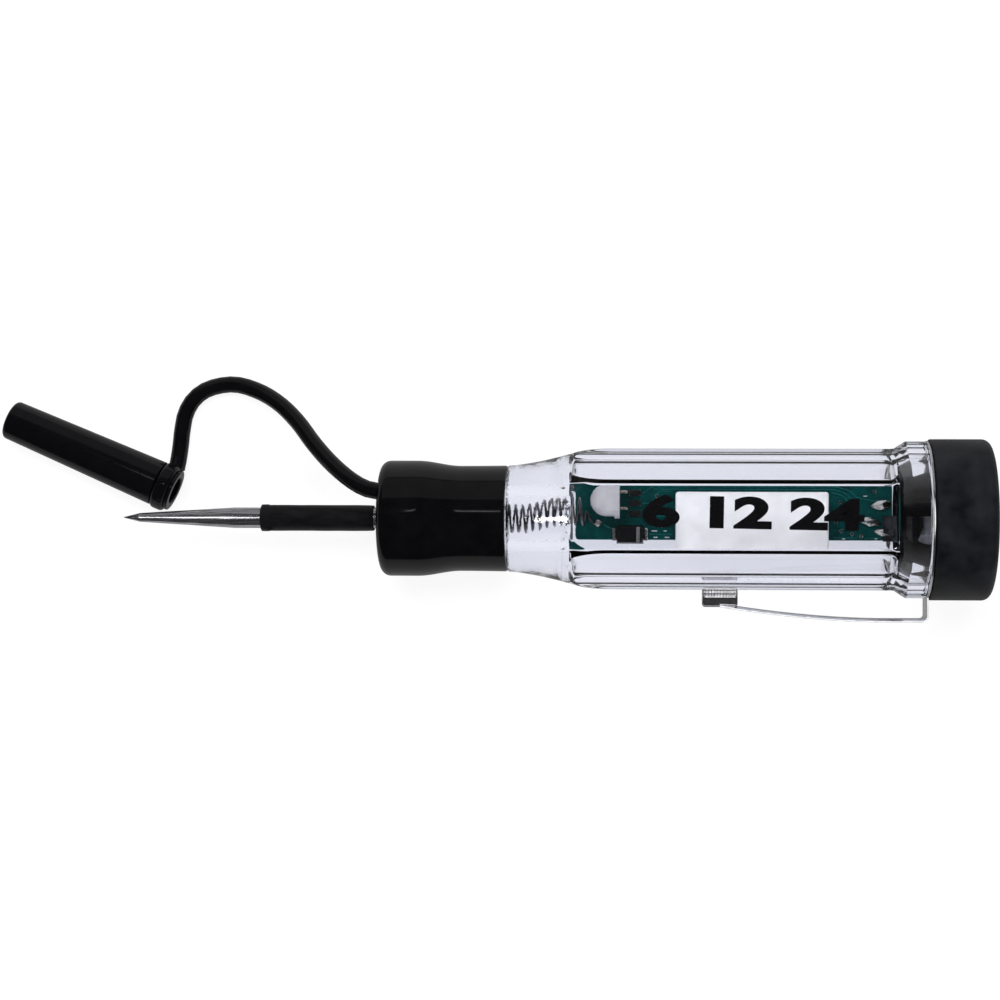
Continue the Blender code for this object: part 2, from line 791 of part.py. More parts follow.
def clip_contact():
    """Leaf that leads from the board up to the inside of the clip's ring."""
    foot = board_face + leaf_thickness / 2
    edge = abs(leaf_side) + leaf_width / 2
    ring_height = math.sqrt(clip_ring_bore ** 2 - edge ** 2)
    top = ring_height - leaf_gap
    ring_middle = clip_ring_front + clip_ring_thickness / 2
    path = [(leaf_foot_front, foot), (leaf_foot_rear, foot)]
    path += [(leaf_foot_rear + along * (leaf_knee - leaf_foot_rear), foot + up * (top - foot))
             for along, up in leaf_bends]
    path += [(ring_middle - leaf_thickness, top - leaf_thickness),
             (ring_middle, top - leaf_thickness / 2)]
    strip("clip_contact", [(station, leaf_side, height) for station, height in path],
          [leaf_width] * len(path), (0.0, 1.0, 0.0), leaf_thickness, chrome, tester)


def smooth_line(knots, steps):
    """A smooth curve through the knots, as points that lie evenly spread along it."""
    knots = [Vector(knot) for knot in knots]
    ends = [2 * knots[0] - knots[1], *knots, 2 * knots[-1] - knots[-2]]
    fine = []
    for a, b, c, d in zip(ends, ends[1:], ends[2:], ends[3:]):
        for i in range(curve_steps):
            t = i / curve_steps
            fine.append(0.5 * (2 * b + (c - a) * t + (2 * a - 5 * b + 4 * c - d) * t ** 2
                               + (3 * b - a - 3 * c + d) * t ** 3))
    fine.append(knots[-1])
    lengths = [0.0]
    for first, second in zip(fine, fine[1:]):
        lengths.append(lengths[-1] + (second - first).length)
    points = []
    for i in range(steps + 1):
        goal = lengths[-1] * i / steps
        place = next(n for n in range(1, len(fine)) if lengths[n] >= goal - 1e-9)
        part = (goal - lengths[place - 1]) / (lengths[place] - lengths[place - 1])
        points.append(fine[place - 1].lerp(fine[place], part))
    return points


def tether_cord():
    knots = [Vector(knot) * MM for knot in cord_route]
    wire("tether_cord", smooth_line(knots, cord_steps), cord_diameter / 2, gloss_black, None)


def guard_ring():
    """Ring round the guard's mouth, with the short stub that the tether's end meets."""
    front = guard_groove_front + slip_fit
    rear = guard_length - guard_lip_length - slip_fit
    bore = guard_groove_radius + slip_fit
    outline = [(rear, bore)]
    outline += arc(rear - ring_round, ring_radius - ring_round, ring_round, 0, 90)
    outline += arc(front + ring_round, ring_radius - ring_round, ring_round, 90, 180)
    outline.append((front, bore))
    ring = turned("guard_ring", outline, gloss_black, guard, closed=True, steps=small_steps)
    stub = turned("ring_stub", [
        (ring_stub_outer, 0.0), (ring_stub_outer, cord_diameter / 2),
        (ring_stub_inner, cord_diameter / 2), (ring_stub_inner, 0.0),
    ], None, guard, steps=fine_steps, collection=cutters)
    stub.location = (ring_stub_station, 0.0, 0.0)
    stub.rotation_euler = (-math.pi / 2 - ring_stub_dip, 0.0, ring_stub_lean)
    boolean(ring, stub, "UNION")


def tip_guard():
    """Tube that covers the needle when it is put away: closed end, grooved mouth."""
    lip_front = guard_length - guard_lip_length
    outline = [
        (guard_end_wall, 0.0),
        (guard_end_wall, guard_bore_radius),
        (guard_length, guard_bore_radius),
        (guard_length, guard_lip_radius),
        (lip_front, guard_lip_radius),
        (lip_front, guard_groove_radius),
        (guard_groove_front, guard_groove_radius),
        (guard_groove_front, guard_mouth_radius),
    ]
    outline += arc(guard_end_round, guard_end_radius - guard_end_round, guard_end_round, 90, 180)
    outline.append((0.0, 0.0))
    turned("tip_guard", outline, gloss_black, guard, steps=small_steps)


clear_scene()
parts = new_collection("automotive_polarity_tester")
cutters = new_collection("cutters")

steel = new_material("needle_steel", (0.62, 0.62, 0.63), 0.25, metallic=1.0)
sleeve_black = new_material("sleeve_black", (0.012, 0.012, 0.013), 0.55)
gloss_black = new_material("gloss_black", (0.004, 0.004, 0.005), 0.12)
rubber_black = new_material("rubber_black", (0.02, 0.02, 0.021), 0.6)
brass = new_material("socket_brass", (0.72, 0.5, 0.2), 0.3, metallic=1.0)
spring_steel = new_material("spring_steel", (0.35, 0.35, 0.36), 0.3, metallic=1.0)
clear_plastic = new_material("clear_plastic", (0.9, 0.9, 0.95), 0.03, alpha=0.35,
                             transmission=1.0)
board_green = new_material("board_green", (0.005, 0.1, 0.085), 0.35)
clear_lens = new_material("clear_lens", (0.9, 0.9, 0.92), 0.05, alpha=0.5, transmission=1.0)
matte_black = new_material("diode_black", (0.01, 0.01, 0.01), 0.4)
chip_grey = new_material("chip_grey", (0.1, 0.1, 0.1), 0.4)
milky_white = new_material("milky_white", (0.85, 0.86, 0.88), 0.4)
signal_red = new_material("signal_red", (0.7, 0.05, 0.03), 0.3)
signal_green = new_material("signal_green", (0.08, 0.5, 0.1), 0.3)
solder_metal = new_material("solder_metal", (0.6, 0.6, 0.6), 0.25, metallic=1.0)
chrome = new_material("chrome", (0.75, 0.75, 0.76), 0.08, metallic=1.0)

tester = tester_frame()
guard = guard_frame()

probe_needle()
needle_sleeve()
nose_grip()
needle_socket()
contact_spring()
clear_handle()
rear_cap()
pocket_clip()
circuit_board()
front_light()
diode()
resistors()
light_bar()
solder_joints()
clip_contact()
tether_cord()
guard_ring()
tip_guard()
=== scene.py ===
import math

import bmesh
import bpy
from mathutils import Matrix, Vector, noise


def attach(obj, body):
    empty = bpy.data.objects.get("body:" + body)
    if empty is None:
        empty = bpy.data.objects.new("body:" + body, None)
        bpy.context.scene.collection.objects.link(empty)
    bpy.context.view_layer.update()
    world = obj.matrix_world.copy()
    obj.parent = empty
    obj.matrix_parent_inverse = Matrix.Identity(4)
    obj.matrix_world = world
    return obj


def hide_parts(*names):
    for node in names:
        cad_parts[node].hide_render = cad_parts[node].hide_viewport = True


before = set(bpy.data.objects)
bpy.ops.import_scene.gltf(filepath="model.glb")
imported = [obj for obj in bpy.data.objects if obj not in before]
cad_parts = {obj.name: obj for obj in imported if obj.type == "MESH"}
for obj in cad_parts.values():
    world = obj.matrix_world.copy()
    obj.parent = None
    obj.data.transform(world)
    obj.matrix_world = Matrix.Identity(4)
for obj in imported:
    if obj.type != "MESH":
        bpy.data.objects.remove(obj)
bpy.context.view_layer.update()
mm = 0.001
scene = bpy.context.scene
print("frame loaded")

# places: pieces are modelled in millimetres on the tester's or the guard's own axes

tester = {"mark": (-66.698, 1.678, 7.202), "tilt": 2.3831}
guard = {"end": (-86.18, 17.165, 3.065), "tilt": 1.5528, "turn": -23.3}

testerTurn = (0.0, -math.radians(tester["tilt"]), 0.0)
guardTurn = (0.0, -math.radians(guard["tilt"]), math.radians(guard["turn"]))


def placeMatrix(point, turn):
    move = Matrix.Translation(Vector(point) * mm)
    rotate = Matrix.Rotation(turn[2], 4, "Z") @ Matrix.Rotation(turn[1], 4, "Y")
    return move @ rotate @ Matrix.Scale(mm, 4)


testerPlace = placeMatrix(tester["mark"], testerTurn)
guardPlace = placeMatrix(guard["end"], guardTurn)


# materials: a few node helpers

def addNode(tree, kind, values=None, **settings):
    node = tree.nodes.new(kind)
    for key, value in settings.items():
        setattr(node, key, value)
    for key, value in (values or {}).items():
        node.inputs[key].default_value = value
    return node


def newFinish(name, colour, roughness, metallic=0.0, shine=0.5, values=None):
    finish = bpy.data.materials.new(name)
    finish.use_nodes = True
    shader = finish.node_tree.nodes["Principled BSDF"]
    settings = {"Base Color": (*colour, 1.0), "Roughness": roughness, "Metallic": metallic,
                "Specular IOR Level": shine, **(values or {})}
    for key, value in settings.items():
        shader.inputs[key].default_value = value
    return finish, finish.node_tree, shader


def pieceCoords(tree, along=None, stretch=(1.0, 1.0, 1.0)):
    # millimetres on the tester's axes, or on the guard's, stretched where a pattern runs along
    coords = addNode(tree, "ShaderNodeTexCoord")
    point, turn = along or (tester["mark"], testerTurn)
    mapping = addNode(tree, "ShaderNodeMapping", vector_type="TEXTURE")
    mapping.inputs["Location"].default_value = Vector(point) * mm
    mapping.inputs["Rotation"].default_value = turn
    mapping.inputs["Scale"].default_value = [mm * share for share in stretch]
    tree.links.new(coords.outputs["Object"], mapping.inputs["Vector"])
    return mapping.outputs["Vector"]


def noiseOn(tree, vector, scale, detail=3.0, roughness=0.5, distortion=0.0):
    texture = addNode(tree, "ShaderNodeTexNoise", {
        "Scale": scale, "Detail": detail, "Roughness": roughness, "Distortion": distortion})
    tree.links.new(vector, texture.inputs["Vector"])
    return texture.outputs["Fac"]


def blendColours(tree, factor, first, second, socket, low=0.35, high=0.65):
    ramp = addNode(tree, "ShaderNodeValToRGB")
    ramp.color_ramp.elements[0].position = low
    ramp.color_ramp.elements[0].color = (*first, 1.0)
    ramp.color_ramp.elements[1].position = high
    ramp.color_ramp.elements[1].color = (*second, 1.0)
    tree.links.new(factor, ramp.inputs["Fac"])
    tree.links.new(ramp.outputs["Color"], socket)
    return ramp


def mapValue(tree, value, low, high, socket=None, fromLow=0.3, fromHigh=0.7):
    spread = addNode(tree, "ShaderNodeMapRange", {
        "From Min": fromLow, "From Max": fromHigh, "To Min": low, "To Max": high})
    tree.links.new(value, spread.inputs["Value"])
    if socket:
        tree.links.new(spread.outputs["Result"], socket)
    return spread.outputs["Result"]


def addMath(tree, operation, first, second):
    # each side is a number or another node's output
    node = addNode(tree, "ShaderNodeMath", operation=operation)
    for socket, value in zip(node.inputs, (first, second)):
        if isinstance(value, float):
            socket.default_value = value
        else:
            tree.links.new(value, socket)
    return node.outputs[0]


def stationOn(tree):
    # how far along the tester, in millimetres
    parts = addNode(tree, "ShaderNodeSeparateXYZ")
    tree.links.new(pieceCoords(tree), parts.inputs["Vector"])
    return parts.outputs["X"]


def addBump(tree, shader, height, strength, depth, under=None):
    bump = addNode(tree, "ShaderNodeBump", {"Strength": strength, "Distance": depth * mm})
    tree.links.new(height, bump.inputs["Height"])
    if under:
        tree.links.new(under.outputs["Normal"], bump.inputs["Normal"])
    tree.links.new(bump.outputs["Normal"], shader.inputs["Normal"])
    return bump


def plainFinish(name, colour, roughness, metallic=0.0, shine=0.5, values=None, along=None,
                grain=6.0, tone=0.8, spread=0.06, bump=0.0):
    # colour and roughness that vary a little over the surface, with a fine bump where asked
    finish, tree, shader = newFinish(name, colour, roughness, metallic, shine, values)
    vector = pieceCoords(tree, along)
    mottle = noiseOn(tree, vector, grain / 8, detail=5.0)
    fine = noiseOn(tree, vector, grain, detail=4.0)
    blendColours(tree, mottle, [part * tone for part in colour], colour,
                 shader.inputs["Base Color"])
    mapValue(tree, fine, max(0.0, roughness - spread), roughness + spread,
             shader.inputs["Roughness"])
    if bump:
        addBump(tree, shader, fine, 0.4, bump)
    return finish


print("helpers ready")


# mesh helpers

def rounded(corners, steps=6):
    # a line of (station, radius) corners; a third number is that corner's fillet
    line = []
    for index, corner in enumerate(corners):
        here = Vector(corner[:2])
        fillet = corner[2] if len(corner) > 2 else 0.0
        if not fillet:
            line.append(here)
            continue
        before = (Vector(corners[index - 1][:2]) - here).normalized()
        after = (Vector(corners[(index + 1) % len(corners)][:2]) - here).normalized()
        half = before.angle(after) / 2
        centre = here + (before + after).normalized() * fillet / math.sin(half)
        first = here + before * fillet / math.tan(half) - centre
        last = here + after * fillet / math.tan(half) - centre
        sweep = math.atan2(first.x * last.y - first.y * last.x, first.dot(last))
        for step in range(steps + 1):
            line.append(centre + Matrix.Rotation(sweep * step / steps, 2) @ first)
    return line


def spinLine(line, steps, closed=False):
    bm = bmesh.new()
    corners = [bm.verts.new((point[0], 0.0, point[1])) for point in line]
    edges = [bm.edges.new(pair) for pair in zip(corners, corners[1:])]
    if closed:
        edges.append(bm.edges.new((corners[-1], corners[0])))
    bmesh.ops.spin(bm, geom=corners + edges, cent=(0, 0, 0), axis=(1, 0, 0),
                   angle=2 * math.pi, steps=steps, use_merge=True)
    bmesh.ops.remove_doubles(bm, verts=bm.verts[:], dist=0.0005)
    bmesh.ops.recalc_face_normals(bm, faces=bm.faces[:])
    return bm


def shadeMesh(mesh, sharp=35.0):
    mesh.shade_smooth()
    mesh.set_sharp_from_angle(angle=math.radians(sharp))
    return mesh


def newMesh(name, bm, place=testerPlace, sharp=35.0):
    bmesh.ops.transform(bm, matrix=place, verts=bm.verts[:])
    mesh = bpy.data.meshes.new(name)
    bm.to_mesh(mesh)
    bm.free()
    return shadeMesh(mesh, sharp)


def newPiece(name, data, finish, nodes=()):
    piece = bpy.data.objects.new(name, data)
    scene.collection.objects.link(piece)
    data.materials.clear()
    data.materials.append(finish)
    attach(piece, "root")
    if nodes:
        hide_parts(*nodes)
    return piece


def meshPiece(name, bm, finish, nodes=(), place=testerPlace, sharp=35.0):
    return newPiece(name, newMesh(name, bm, place, sharp), finish, nodes)


def cutMesh(mesh, cutters, operation="DIFFERENCE"):
    # takes the cutters' shapes out of a mesh that isn't linked anywhere yet, or adds them
    solid = bpy.data.objects.new("cutting", mesh)
    scene.collection.objects.link(solid)
    tools = []
    for cutter in cutters:
        tool = bpy.data.objects.new("tool", cutter)
        scene.collection.objects.link(tool)
        change = solid.modifiers.new("Cut", "BOOLEAN")
        change.operation = operation
        change.solver = "EXACT"
        change.object = tool
        tools.append(tool)
    done = bpy.data.meshes.new_from_object(
        solid.evaluated_get(bpy.context.evaluated_depsgraph_get()))
    for thing in [solid, *tools]:
        bpy.data.objects.remove(thing)
    done.name = mesh.name
    return shadeMesh(done)


def boxShape(bm, size, centre):
    corners = bmesh.ops.create_cube(bm, size=1.0)["verts"]
    bmesh.ops.scale(bm, vec=size, verts=corners)
    bmesh.ops.translate(bm, vec=centre, verts=corners)


def turnAll(bm, degrees, axis, centre=(0.0, 0.0, 0.0)):
    bmesh.ops.rotate(bm, cent=centre, verts=bm.verts[:],
                     matrix=Matrix.Rotation(math.radians(degrees), 3, axis))


def addPart(bm, part):
    # puts a part that was shaped on its own into a larger mesh
    mesh = bpy.data.meshes.new("part")
    part.to_mesh(mesh)
    part.free()
    bm.from_mesh(mesh)
    bpy.data.meshes.remove(mesh)


def wireCurves(name, lines, radius, sides, place=None):
    curve = bpy.data.curves.new(name, "CURVE")
    curve.dimensions = "3D"
    curve.bevel_depth = radius * mm
    curve.bevel_resolution = sides
    curve.use_fill_caps = True
    for points in lines:
        line = curve.splines.new("POLY")
        line.points.add(len(points) - 1)
        for knot, point in zip(line.points, points):
            spot = place @ Vector(point) if place else Vector(point) * mm
            knot.co = (*spot, 1.0)
        line.use_smooth = True
    return curve


# camera: straight down, as in the photograph

view = {"above": (3.95, 4.575, 351.0), "lens": 79.2, "shift": -0.08, "roll": 0.15}

cameraData = bpy.data.cameras.new("camera")
cameraData.sensor_width = 36.0
cameraData.lens = view["lens"]
cameraData.shift_x = view["shift"]
cameraData.clip_start = 0.01
cameraData.clip_end = 20.0
camera = bpy.data.objects.new("camera", cameraData)
camera.location = Vector(view["above"]) * mm
camera.rotation_euler = (0.0, 0.0, math.radians(view["roll"]))
scene.collection.objects.link(camera)
scene.camera = camera
scene.view_settings.view_transform = "Standard"
print("camera ready")

# tether: its route is the one that the solid follows

tether = {
    "diameter": 2.6,
    "route": (
        (-23.1, 5.83, 14.28), (-25.7, 5.83, 14.17), (-28.4, 6.1, 14.02), (-31.1, 7.45, 13.25),
        (-34.4, 10.07, 11.25), (-37.5, 13.27, 8.8), (-40.2, 16.57, 6.3), (-43.3, 19.47, 4.0),
        (-46.8, 21.57, 2.18), (-50.8, 22.77, 1.5), (-54.6, 22.27, 1.35), (-57.1, 20.77, 1.35),
        (-58.65, 18.4, 1.35), (-59.25, 15.6, 1.35), (-59.52, 12.9, 1.45), (-59.73, 10.74, 2.065),
    ),
    "exit": (-27.05, 5.83, 14.12),
    "points": 40,
}


def smoothRoute(knots, count):
    # a smooth line through the knots, cut into equal steps
    knots = [Vector(knot) for knot in knots]
    ends = [2 * knots[0] - knots[1], *knots, 2 * knots[-1] - knots[-2]]
    fine = []
    for a, b, c, d in zip(ends, ends[1:], ends[2:], ends[3:]):
        for step in range(12):
            t = step / 12
            fine.append(0.5 * (2 * b + (c - a) * t + (2 * a - 5 * b + 4 * c - d) * t ** 2
                               + (3 * b - a - 3 * c + d) * t ** 3))
    fine.append(knots[-1])
    lengths = [0.0]
    for first, second in zip(fine, fine[1:]):
        lengths.append(lengths[-1] + (second - first).length)
    points = []
    for index in range(count):
        goal = lengths[-1] * index / (count - 1)
        spot = next(n for n in range(1, len(fine)) if lengths[n] >= goal - 1e-9)
        share = (goal - lengths[spot - 1]) / (lengths[spot] - lengths[spot - 1])
        points.append(fine[spot - 1].lerp(fine[spot], share))
    return points, lengths[-1]


cordFinish = plainFinish("tetherRubber", (0.003, 0.003, 0.0038), 0.16, shine=0.4,
                         values={"Coat Weight": 0.15, "Coat Roughness": 0.1},
                         grain=3.0, tone=0.7, spread=0.07, bump=0.01)
cordPoints, cordLength = smoothRoute(tether["route"], tether["points"])
cordCurve = wireCurves("tether", [cordPoints], tether["diameter"] / 2, 8)
cord = newPiece("tether", cordCurve, cordFinish, ["tether_cord"])
print("tether laid,", round(cordLength, 1), "mm from end to end")

# guard for the needle's point, with the tether's ring round its mouth

tipGuard = {
    "length": 28.6, "endRadius": 3.1, "mouthRadius": 3.55, "bore": 2.1, "endWall": 1.6,
    "groove": (25.7, 2.95), "lip": (28.1, 3.3), "steps": 128,  # front, radius
    "ring": (3.8, 25.8, 28.0, 0.6),  # radius, front, rear, fillet
    "stub": (28.1, 3.62, 5.1, 20.0, 16.0),  # station, from, to, dip, lean
}


def makeGuard():
    gloss = plainFinish("guardPlastic", (0.0032, 0.0032, 0.0045), 0.14, shine=0.4,
                        along=(guard["end"], guardTurn), grain=4.0, tone=0.7, spread=0.05,
                        bump=0.006)
    size = tipGuard
    grooveFront, grooveRadius = size["groove"]
    lipFront, lipRadius = size["lip"]
    line = rounded([
        (size["endWall"], 0.0), (size["endWall"], size["bore"]),
        (size["length"], size["bore"], 0.25), (size["length"], lipRadius, 0.12),
        (lipFront, lipRadius), (lipFront, grooveRadius), (grooveFront, grooveRadius),
        (grooveFront, size["mouthRadius"], 0.15), (0.0, size["endRadius"], 0.7), (0.0, 0.0),
    ])
    meshPiece("tipGuard", spinLine(line, size["steps"]), gloss, ["tip_guard"],
              guardPlace)
    radius, front, rear, fillet = size["ring"]
    bore = grooveRadius + 0.1
    line = rounded([(rear, bore), (rear, radius, fillet), (front, radius, fillet), (front, bore)])
    body = newMesh("guardRing", spinLine(line, size["steps"], closed=True), guardPlace)
    # the stub, as thick as the tether, that its end runs into
    station, inner, outer, dip, lean = size["stub"]
    half = tether["diameter"] / 2
    stub = bmesh.new()
    bmesh.ops.create_cone(stub, cap_ends=True, segments=64, radius1=half, radius2=half,
                          depth=outer - inner)
    bmesh.ops.translate(stub, vec=(0.0, 0.0, (outer + inner) / 2), verts=stub.verts[:])
    turn = (Matrix.Rotation(math.radians(lean), 3, "Z")
            @ Matrix.Rotation(-math.radians(90.0 + dip), 3, "X"))
    bmesh.ops.rotate(stub, cent=(0, 0, 0), matrix=turn, verts=stub.verts[:])
    bmesh.ops.translate(stub, vec=(station, 0.0, 0.0), verts=stub.verts[:])
    body = cutMesh(body, [newMesh("stub", stub, guardPlace)], operation="UNION")
    return newPiece("guardRing", body, gloss, ["guard_ring"])


guardRing = makeGuard()
print("guard made")

# needle and its shrink sleeve

needle = {
    "radius": 1.6, "end": 46.0, "taperEnd": 16.8, "pointEnd": 1.9, "pointRadius": 0.69,
    "tip": (-0.62, 0.06), "steps": 96,
    "tones": ((0.3, 0.3, 0.32), (0.93, 0.92, 0.97)), "roughness": (0.08, 0.24),
}
sleeve = {
    "front": 21.1, "rear": 38.7, "radius": 2.02, "bore": 1.7,
    "mouth": (0.9, 0.07, 0.09),  # length, and how far it stands out at its edge and behind it
    "lump": (22.5, -62.0, 0.22, 0.45),  # station, angle, height, reach
    "ripple": 0.03,
    "tones": ((0.004, 0.004, 0.005), (0.008, 0.008, 0.0095)), "roughness": (0.34, 0.5),
}


def makeNeedle():
    finish, tree, shader = newFinish("needleSteel", (0.62, 0.62, 0.64), 0.22, 0.97)
    vector = pieceCoords(tree, stretch=(60.0, 1.0, 1.0))
    scratches = noiseOn(tree, vector, 5.0, detail=6.0, roughness=0.7)
    rings = noiseOn(tree, pieceCoords(tree, stretch=(0.6, 30.0, 30.0)), 5.0, detail=3.0)
    blendColours(tree, scratches, *needle["tones"], shader.inputs["Base Color"], 0.36, 0.6)
    mapValue(tree, scratches, *needle["roughness"], shader.inputs["Roughness"])
    first = addBump(tree, shader, rings, 0.15, 0.01)
    addBump(tree, shader, scratches, 0.35, 0.02, first)
    size = needle
    line = rounded([
        (size["end"], 0.0), (size["end"], size["radius"], 0.3),
        (size["taperEnd"], size["radius"], 3.0), (size["pointEnd"], size["pointRadius"], 1.0),
        (*size["tip"], 0.03), (size["tip"][0], 0.0),
    ])
    meshPiece("needle", spinLine(line, size["steps"]), finish, ["probe_needle"],
              sharp=50.0)


def makeSleeve():
    finish, tree, shader = newFinish("shrinkSleeve", (0.006, 0.006, 0.007), 0.42, shine=0.35)
    vector = pieceCoords(tree, stretch=(3.0, 1.0, 1.0))
    soft = noiseOn(tree, vector, 1.2, detail=3.0)
    fine = noiseOn(tree, vector, 9.0, detail=4.0)
    blendColours(tree, soft, *sleeve["tones"], shader.inputs["Base Color"])
    mapValue(tree, fine, *sleeve["roughness"], shader.inputs["Roughness"])
    addBump(tree, shader, fine, 0.3, 0.02)
    size = sleeve
    front, rear, radius, bore = size["front"], size["rear"], size["radius"], size["bore"]
    mouthLength, mouthEdge, mouthRise = size["mouth"]
    lumpStation, lumpAngle, lumpHeight, lumpReach = size["lump"]
    stations = [front + 1.4 + (rear - front - 2.4) * step / 90 for step in range(91)]
    corners = [(rear, bore), (rear, radius - 0.05, 0.12)]
    corners += [(station, radius) for station in reversed(stations)]
    corners += [(front + mouthLength, radius + mouthRise), (front, radius + mouthEdge, 0.12),
                (front, bore)]
    bm = spinLine(rounded(corners), 96, closed=True)
    lumpAngle = math.radians(lumpAngle)
    middle = Vector((lumpStation, radius * math.sin(lumpAngle), radius * math.cos(lumpAngle)))
    for corner in bm.verts:
        outward = Vector((0.0, corner.co.y, corner.co.z))
        if outward.length < bore + 0.1:
            continue
        outward.normalize()
        ripple = noise.noise(Vector((corner.co.x * 0.35, outward.y * 1.2, outward.z * 1.2)))
        away = (Vector((corner.co.x, outward.y * radius, outward.z * radius)) - middle).length
        lump = lumpHeight * math.exp(-(away / lumpReach) ** 2)
        corner.co += outward * (size["ripple"] * ripple + lump)
    meshPiece("sleeve", bm, finish, ["needle_sleeve"], sharp=50.0)


makeNeedle()
makeSleeve()
print("needle and sleeve made")

# nose grip, hollow, with the tether's hole

nose = {
    "front": 39.9, "rear": 59.5, "radius": 8.95, "fillet": 1.5, "waist": (52.4, 8.15),
    "rearRadius": 8.22, "shoulderEnd": 45.5, "boss": (2.0, 0.7), "bore": 1.7, "steps": 192,
    "pocket": (43.0, 2.9), "thread": (50.0, 5.5),  # front, radius
    "hole": (4.15, 5.26, 1.6, 4.5),  # across, up, radius, depth
    "tones": ((0.0018, 0.0018, 0.0024), (0.0032, 0.0032, 0.004)), "roughness": (0.06, 0.13),
}


def noseRadius(station):
    waist, waistRadius = nose["waist"]
    if station <= waist:
        part = (station - nose["shoulderEnd"]) / (waist - nose["shoulderEnd"])
        return waistRadius + (nose["radius"] - waistRadius) * (1 + math.cos(math.pi * part)) / 2
    part = (station - waist) / (nose["rear"] - waist)
    return waistRadius + (nose["rearRadius"] - waistRadius) * part ** 2


def makeNose():
    finish, tree, shader = newFinish("nosePlastic", (0.0025, 0.0025, 0.003), 0.1, shine=0.4)
    vector = pieceCoords(tree)
    soft = noiseOn(tree, vector, 0.35, detail=2.0)
    specks = noiseOn(tree, vector, 5.0, detail=5.0)
    blendColours(tree, soft, *nose["tones"], shader.inputs["Base Color"])
    mapValue(tree, specks, *nose["roughness"], shader.inputs["Roughness"])
    wave = addBump(tree, shader, soft, 0.25, 0.03)
    addBump(tree, shader, specks, 0.05, 0.01, wave)
    size = nose
    stations = [size["rear"] - (size["rear"] - size["shoulderEnd"]) * step / 48
                for step in range(1, 49)]
    corners = [(size["rear"], noseRadius(size["rear"]) - 0.15)]
    corners += [(station, noseRadius(station)) for station in stations]
    corners += [(size["front"], size["radius"], size["fillet"])]
    bossRadius, bossLength = size["boss"]
    pocketFront, pocketRadius = size["pocket"]
    threadFront, threadRadius = size["thread"]
    corners += [
        (size["front"], bossRadius + 0.25, 0.25), (size["front"] - bossLength, bossRadius, 0.15),
        (size["front"] - bossLength, size["bore"]), (pocketFront, size["bore"]),
        (pocketFront, pocketRadius), (threadFront, pocketRadius), (threadFront, threadRadius),
        (size["rear"], threadRadius),
    ]
    bm = spinLine(rounded(corners, 8), size["steps"], closed=True)
    across, up, holeRadius, depth = size["hole"]
    tool = bmesh.new()
    bmesh.ops.create_cone(tool, cap_ends=True, segments=96, radius1=holeRadius,
                          radius2=holeRadius, depth=depth + 4.0)
    turnAll(tool, 90.0, "Y")
    bmesh.ops.translate(tool, vec=(size["front"] + (depth - 4.0) / 2, across, up),
                        verts=tool.verts[:])
    body = cutMesh(newMesh("nose", bm), [newMesh("hole", tool)])
    newPiece("nose", body, finish, ["nose_grip"])


makeNose()
print("nose made")

# contact spring

spring = {
    "front": 51.3, "wire": 0.42, "radius": 2.3, "pitch": 1.18, "turns": 17,
    "bend": (62.5, 6.0, 1.1), "pointsATurn": 40, "foot": (72.5, -0.7), "boardFace": -2.45,
}


def springPoints():
    size = spring
    middle = size["radius"] - size["wire"] / 2
    first = size["front"] + size["wire"] / 2
    bendStart, bendLength, bendSide = size["bend"]
    points = []
    for index in range(size["turns"] * size["pointsATurn"] + 1):
        turn = index / size["pointsATurn"]
        station = first + size["pitch"] * turn
        share = min(1.0, max(0.0, (station - bendStart) / bendLength))
        side = bendSide * (1 - math.cos(math.pi * share)) / 2
        angle = 2 * math.pi * turn - math.pi / 2
        points.append(Vector((station, side + middle * math.cos(angle),
                              middle * math.sin(angle))))
    low = size["boardFace"] + size["wire"] / 2
    end = points[-1]
    foot = Vector((size["foot"][0], size["foot"][1], low))
    bend = Vector((end.x + 0.5, end.y - 0.5, low))
    for step in range(1, 9):
        t = step / 8
        points.append(end.lerp(bend, t).lerp(bend.lerp(foot, t), t))
    return points


springFinish = plainFinish("springSteel", (0.17, 0.17, 0.19), 0.1, 0.97, grain=3.0, tone=0.4,
                           spread=0.05)
newPiece("spring", wireCurves("spring", [springPoints()], spring["wire"] / 2, 3, testerPlace),
         springFinish, ["contact_spring"])
print("spring wound")

# clear handle: one closed shell, round neck, six flats, hexagonal cavity

handle = {
    "front": 59.65, "noseRadius": 8.22, "kink": (69.2, 10.05), "neckPower": 1.45,
    "shoulder": 7.7, "radius": 10.93, "flat": 9.53, "flatFront": (70.1, 0.9),
    "flatRear": (117.6, 2.0), "flare": (119.0, 120.8, 12.08), "rear": 123.7,
    "cavity": (69.5, 119.3, 8.6, 0.3),  # front, rear, flats, corner's fillet
    "springBore": 3.5, "spigot": (52.7, 5.2), "mouth": 9.6, "edge": 0.16, "sectorSteps": 48,
    "spread": 1.7, "cavityMark": 8.5, "roll": 2.5, "neckSteps": 24,
    # along the body: from, gap, count
    "stations": ((69.2, 0.2, 42), (78.0, 4.0, 10), (116.0, 1.0, 2), (117.4, 0.1, 16)),
}

sector = math.pi / 3  # one flat of six


def flatDistance(station):
    front, frontCurve = handle["flatFront"]
    rear, rearCurve = handle["flatRear"]
    if station < front:
        over, curve = front - station, frontCurve
    elif station > rear:
        over, curve = station - rear, rearCurve
    else:
        return handle["flat"]
    if over >= curve:
        return handle["flat"] + curve
    return handle["flat"] + curve - math.sqrt(curve ** 2 - over ** 2)


def softMin(a, b, reach):
    # the smaller of two, rounded where they meet
    near = max(reach - abs(a - b), 0.0) / reach
    return min(a, b) - near ** 2 * reach / 4


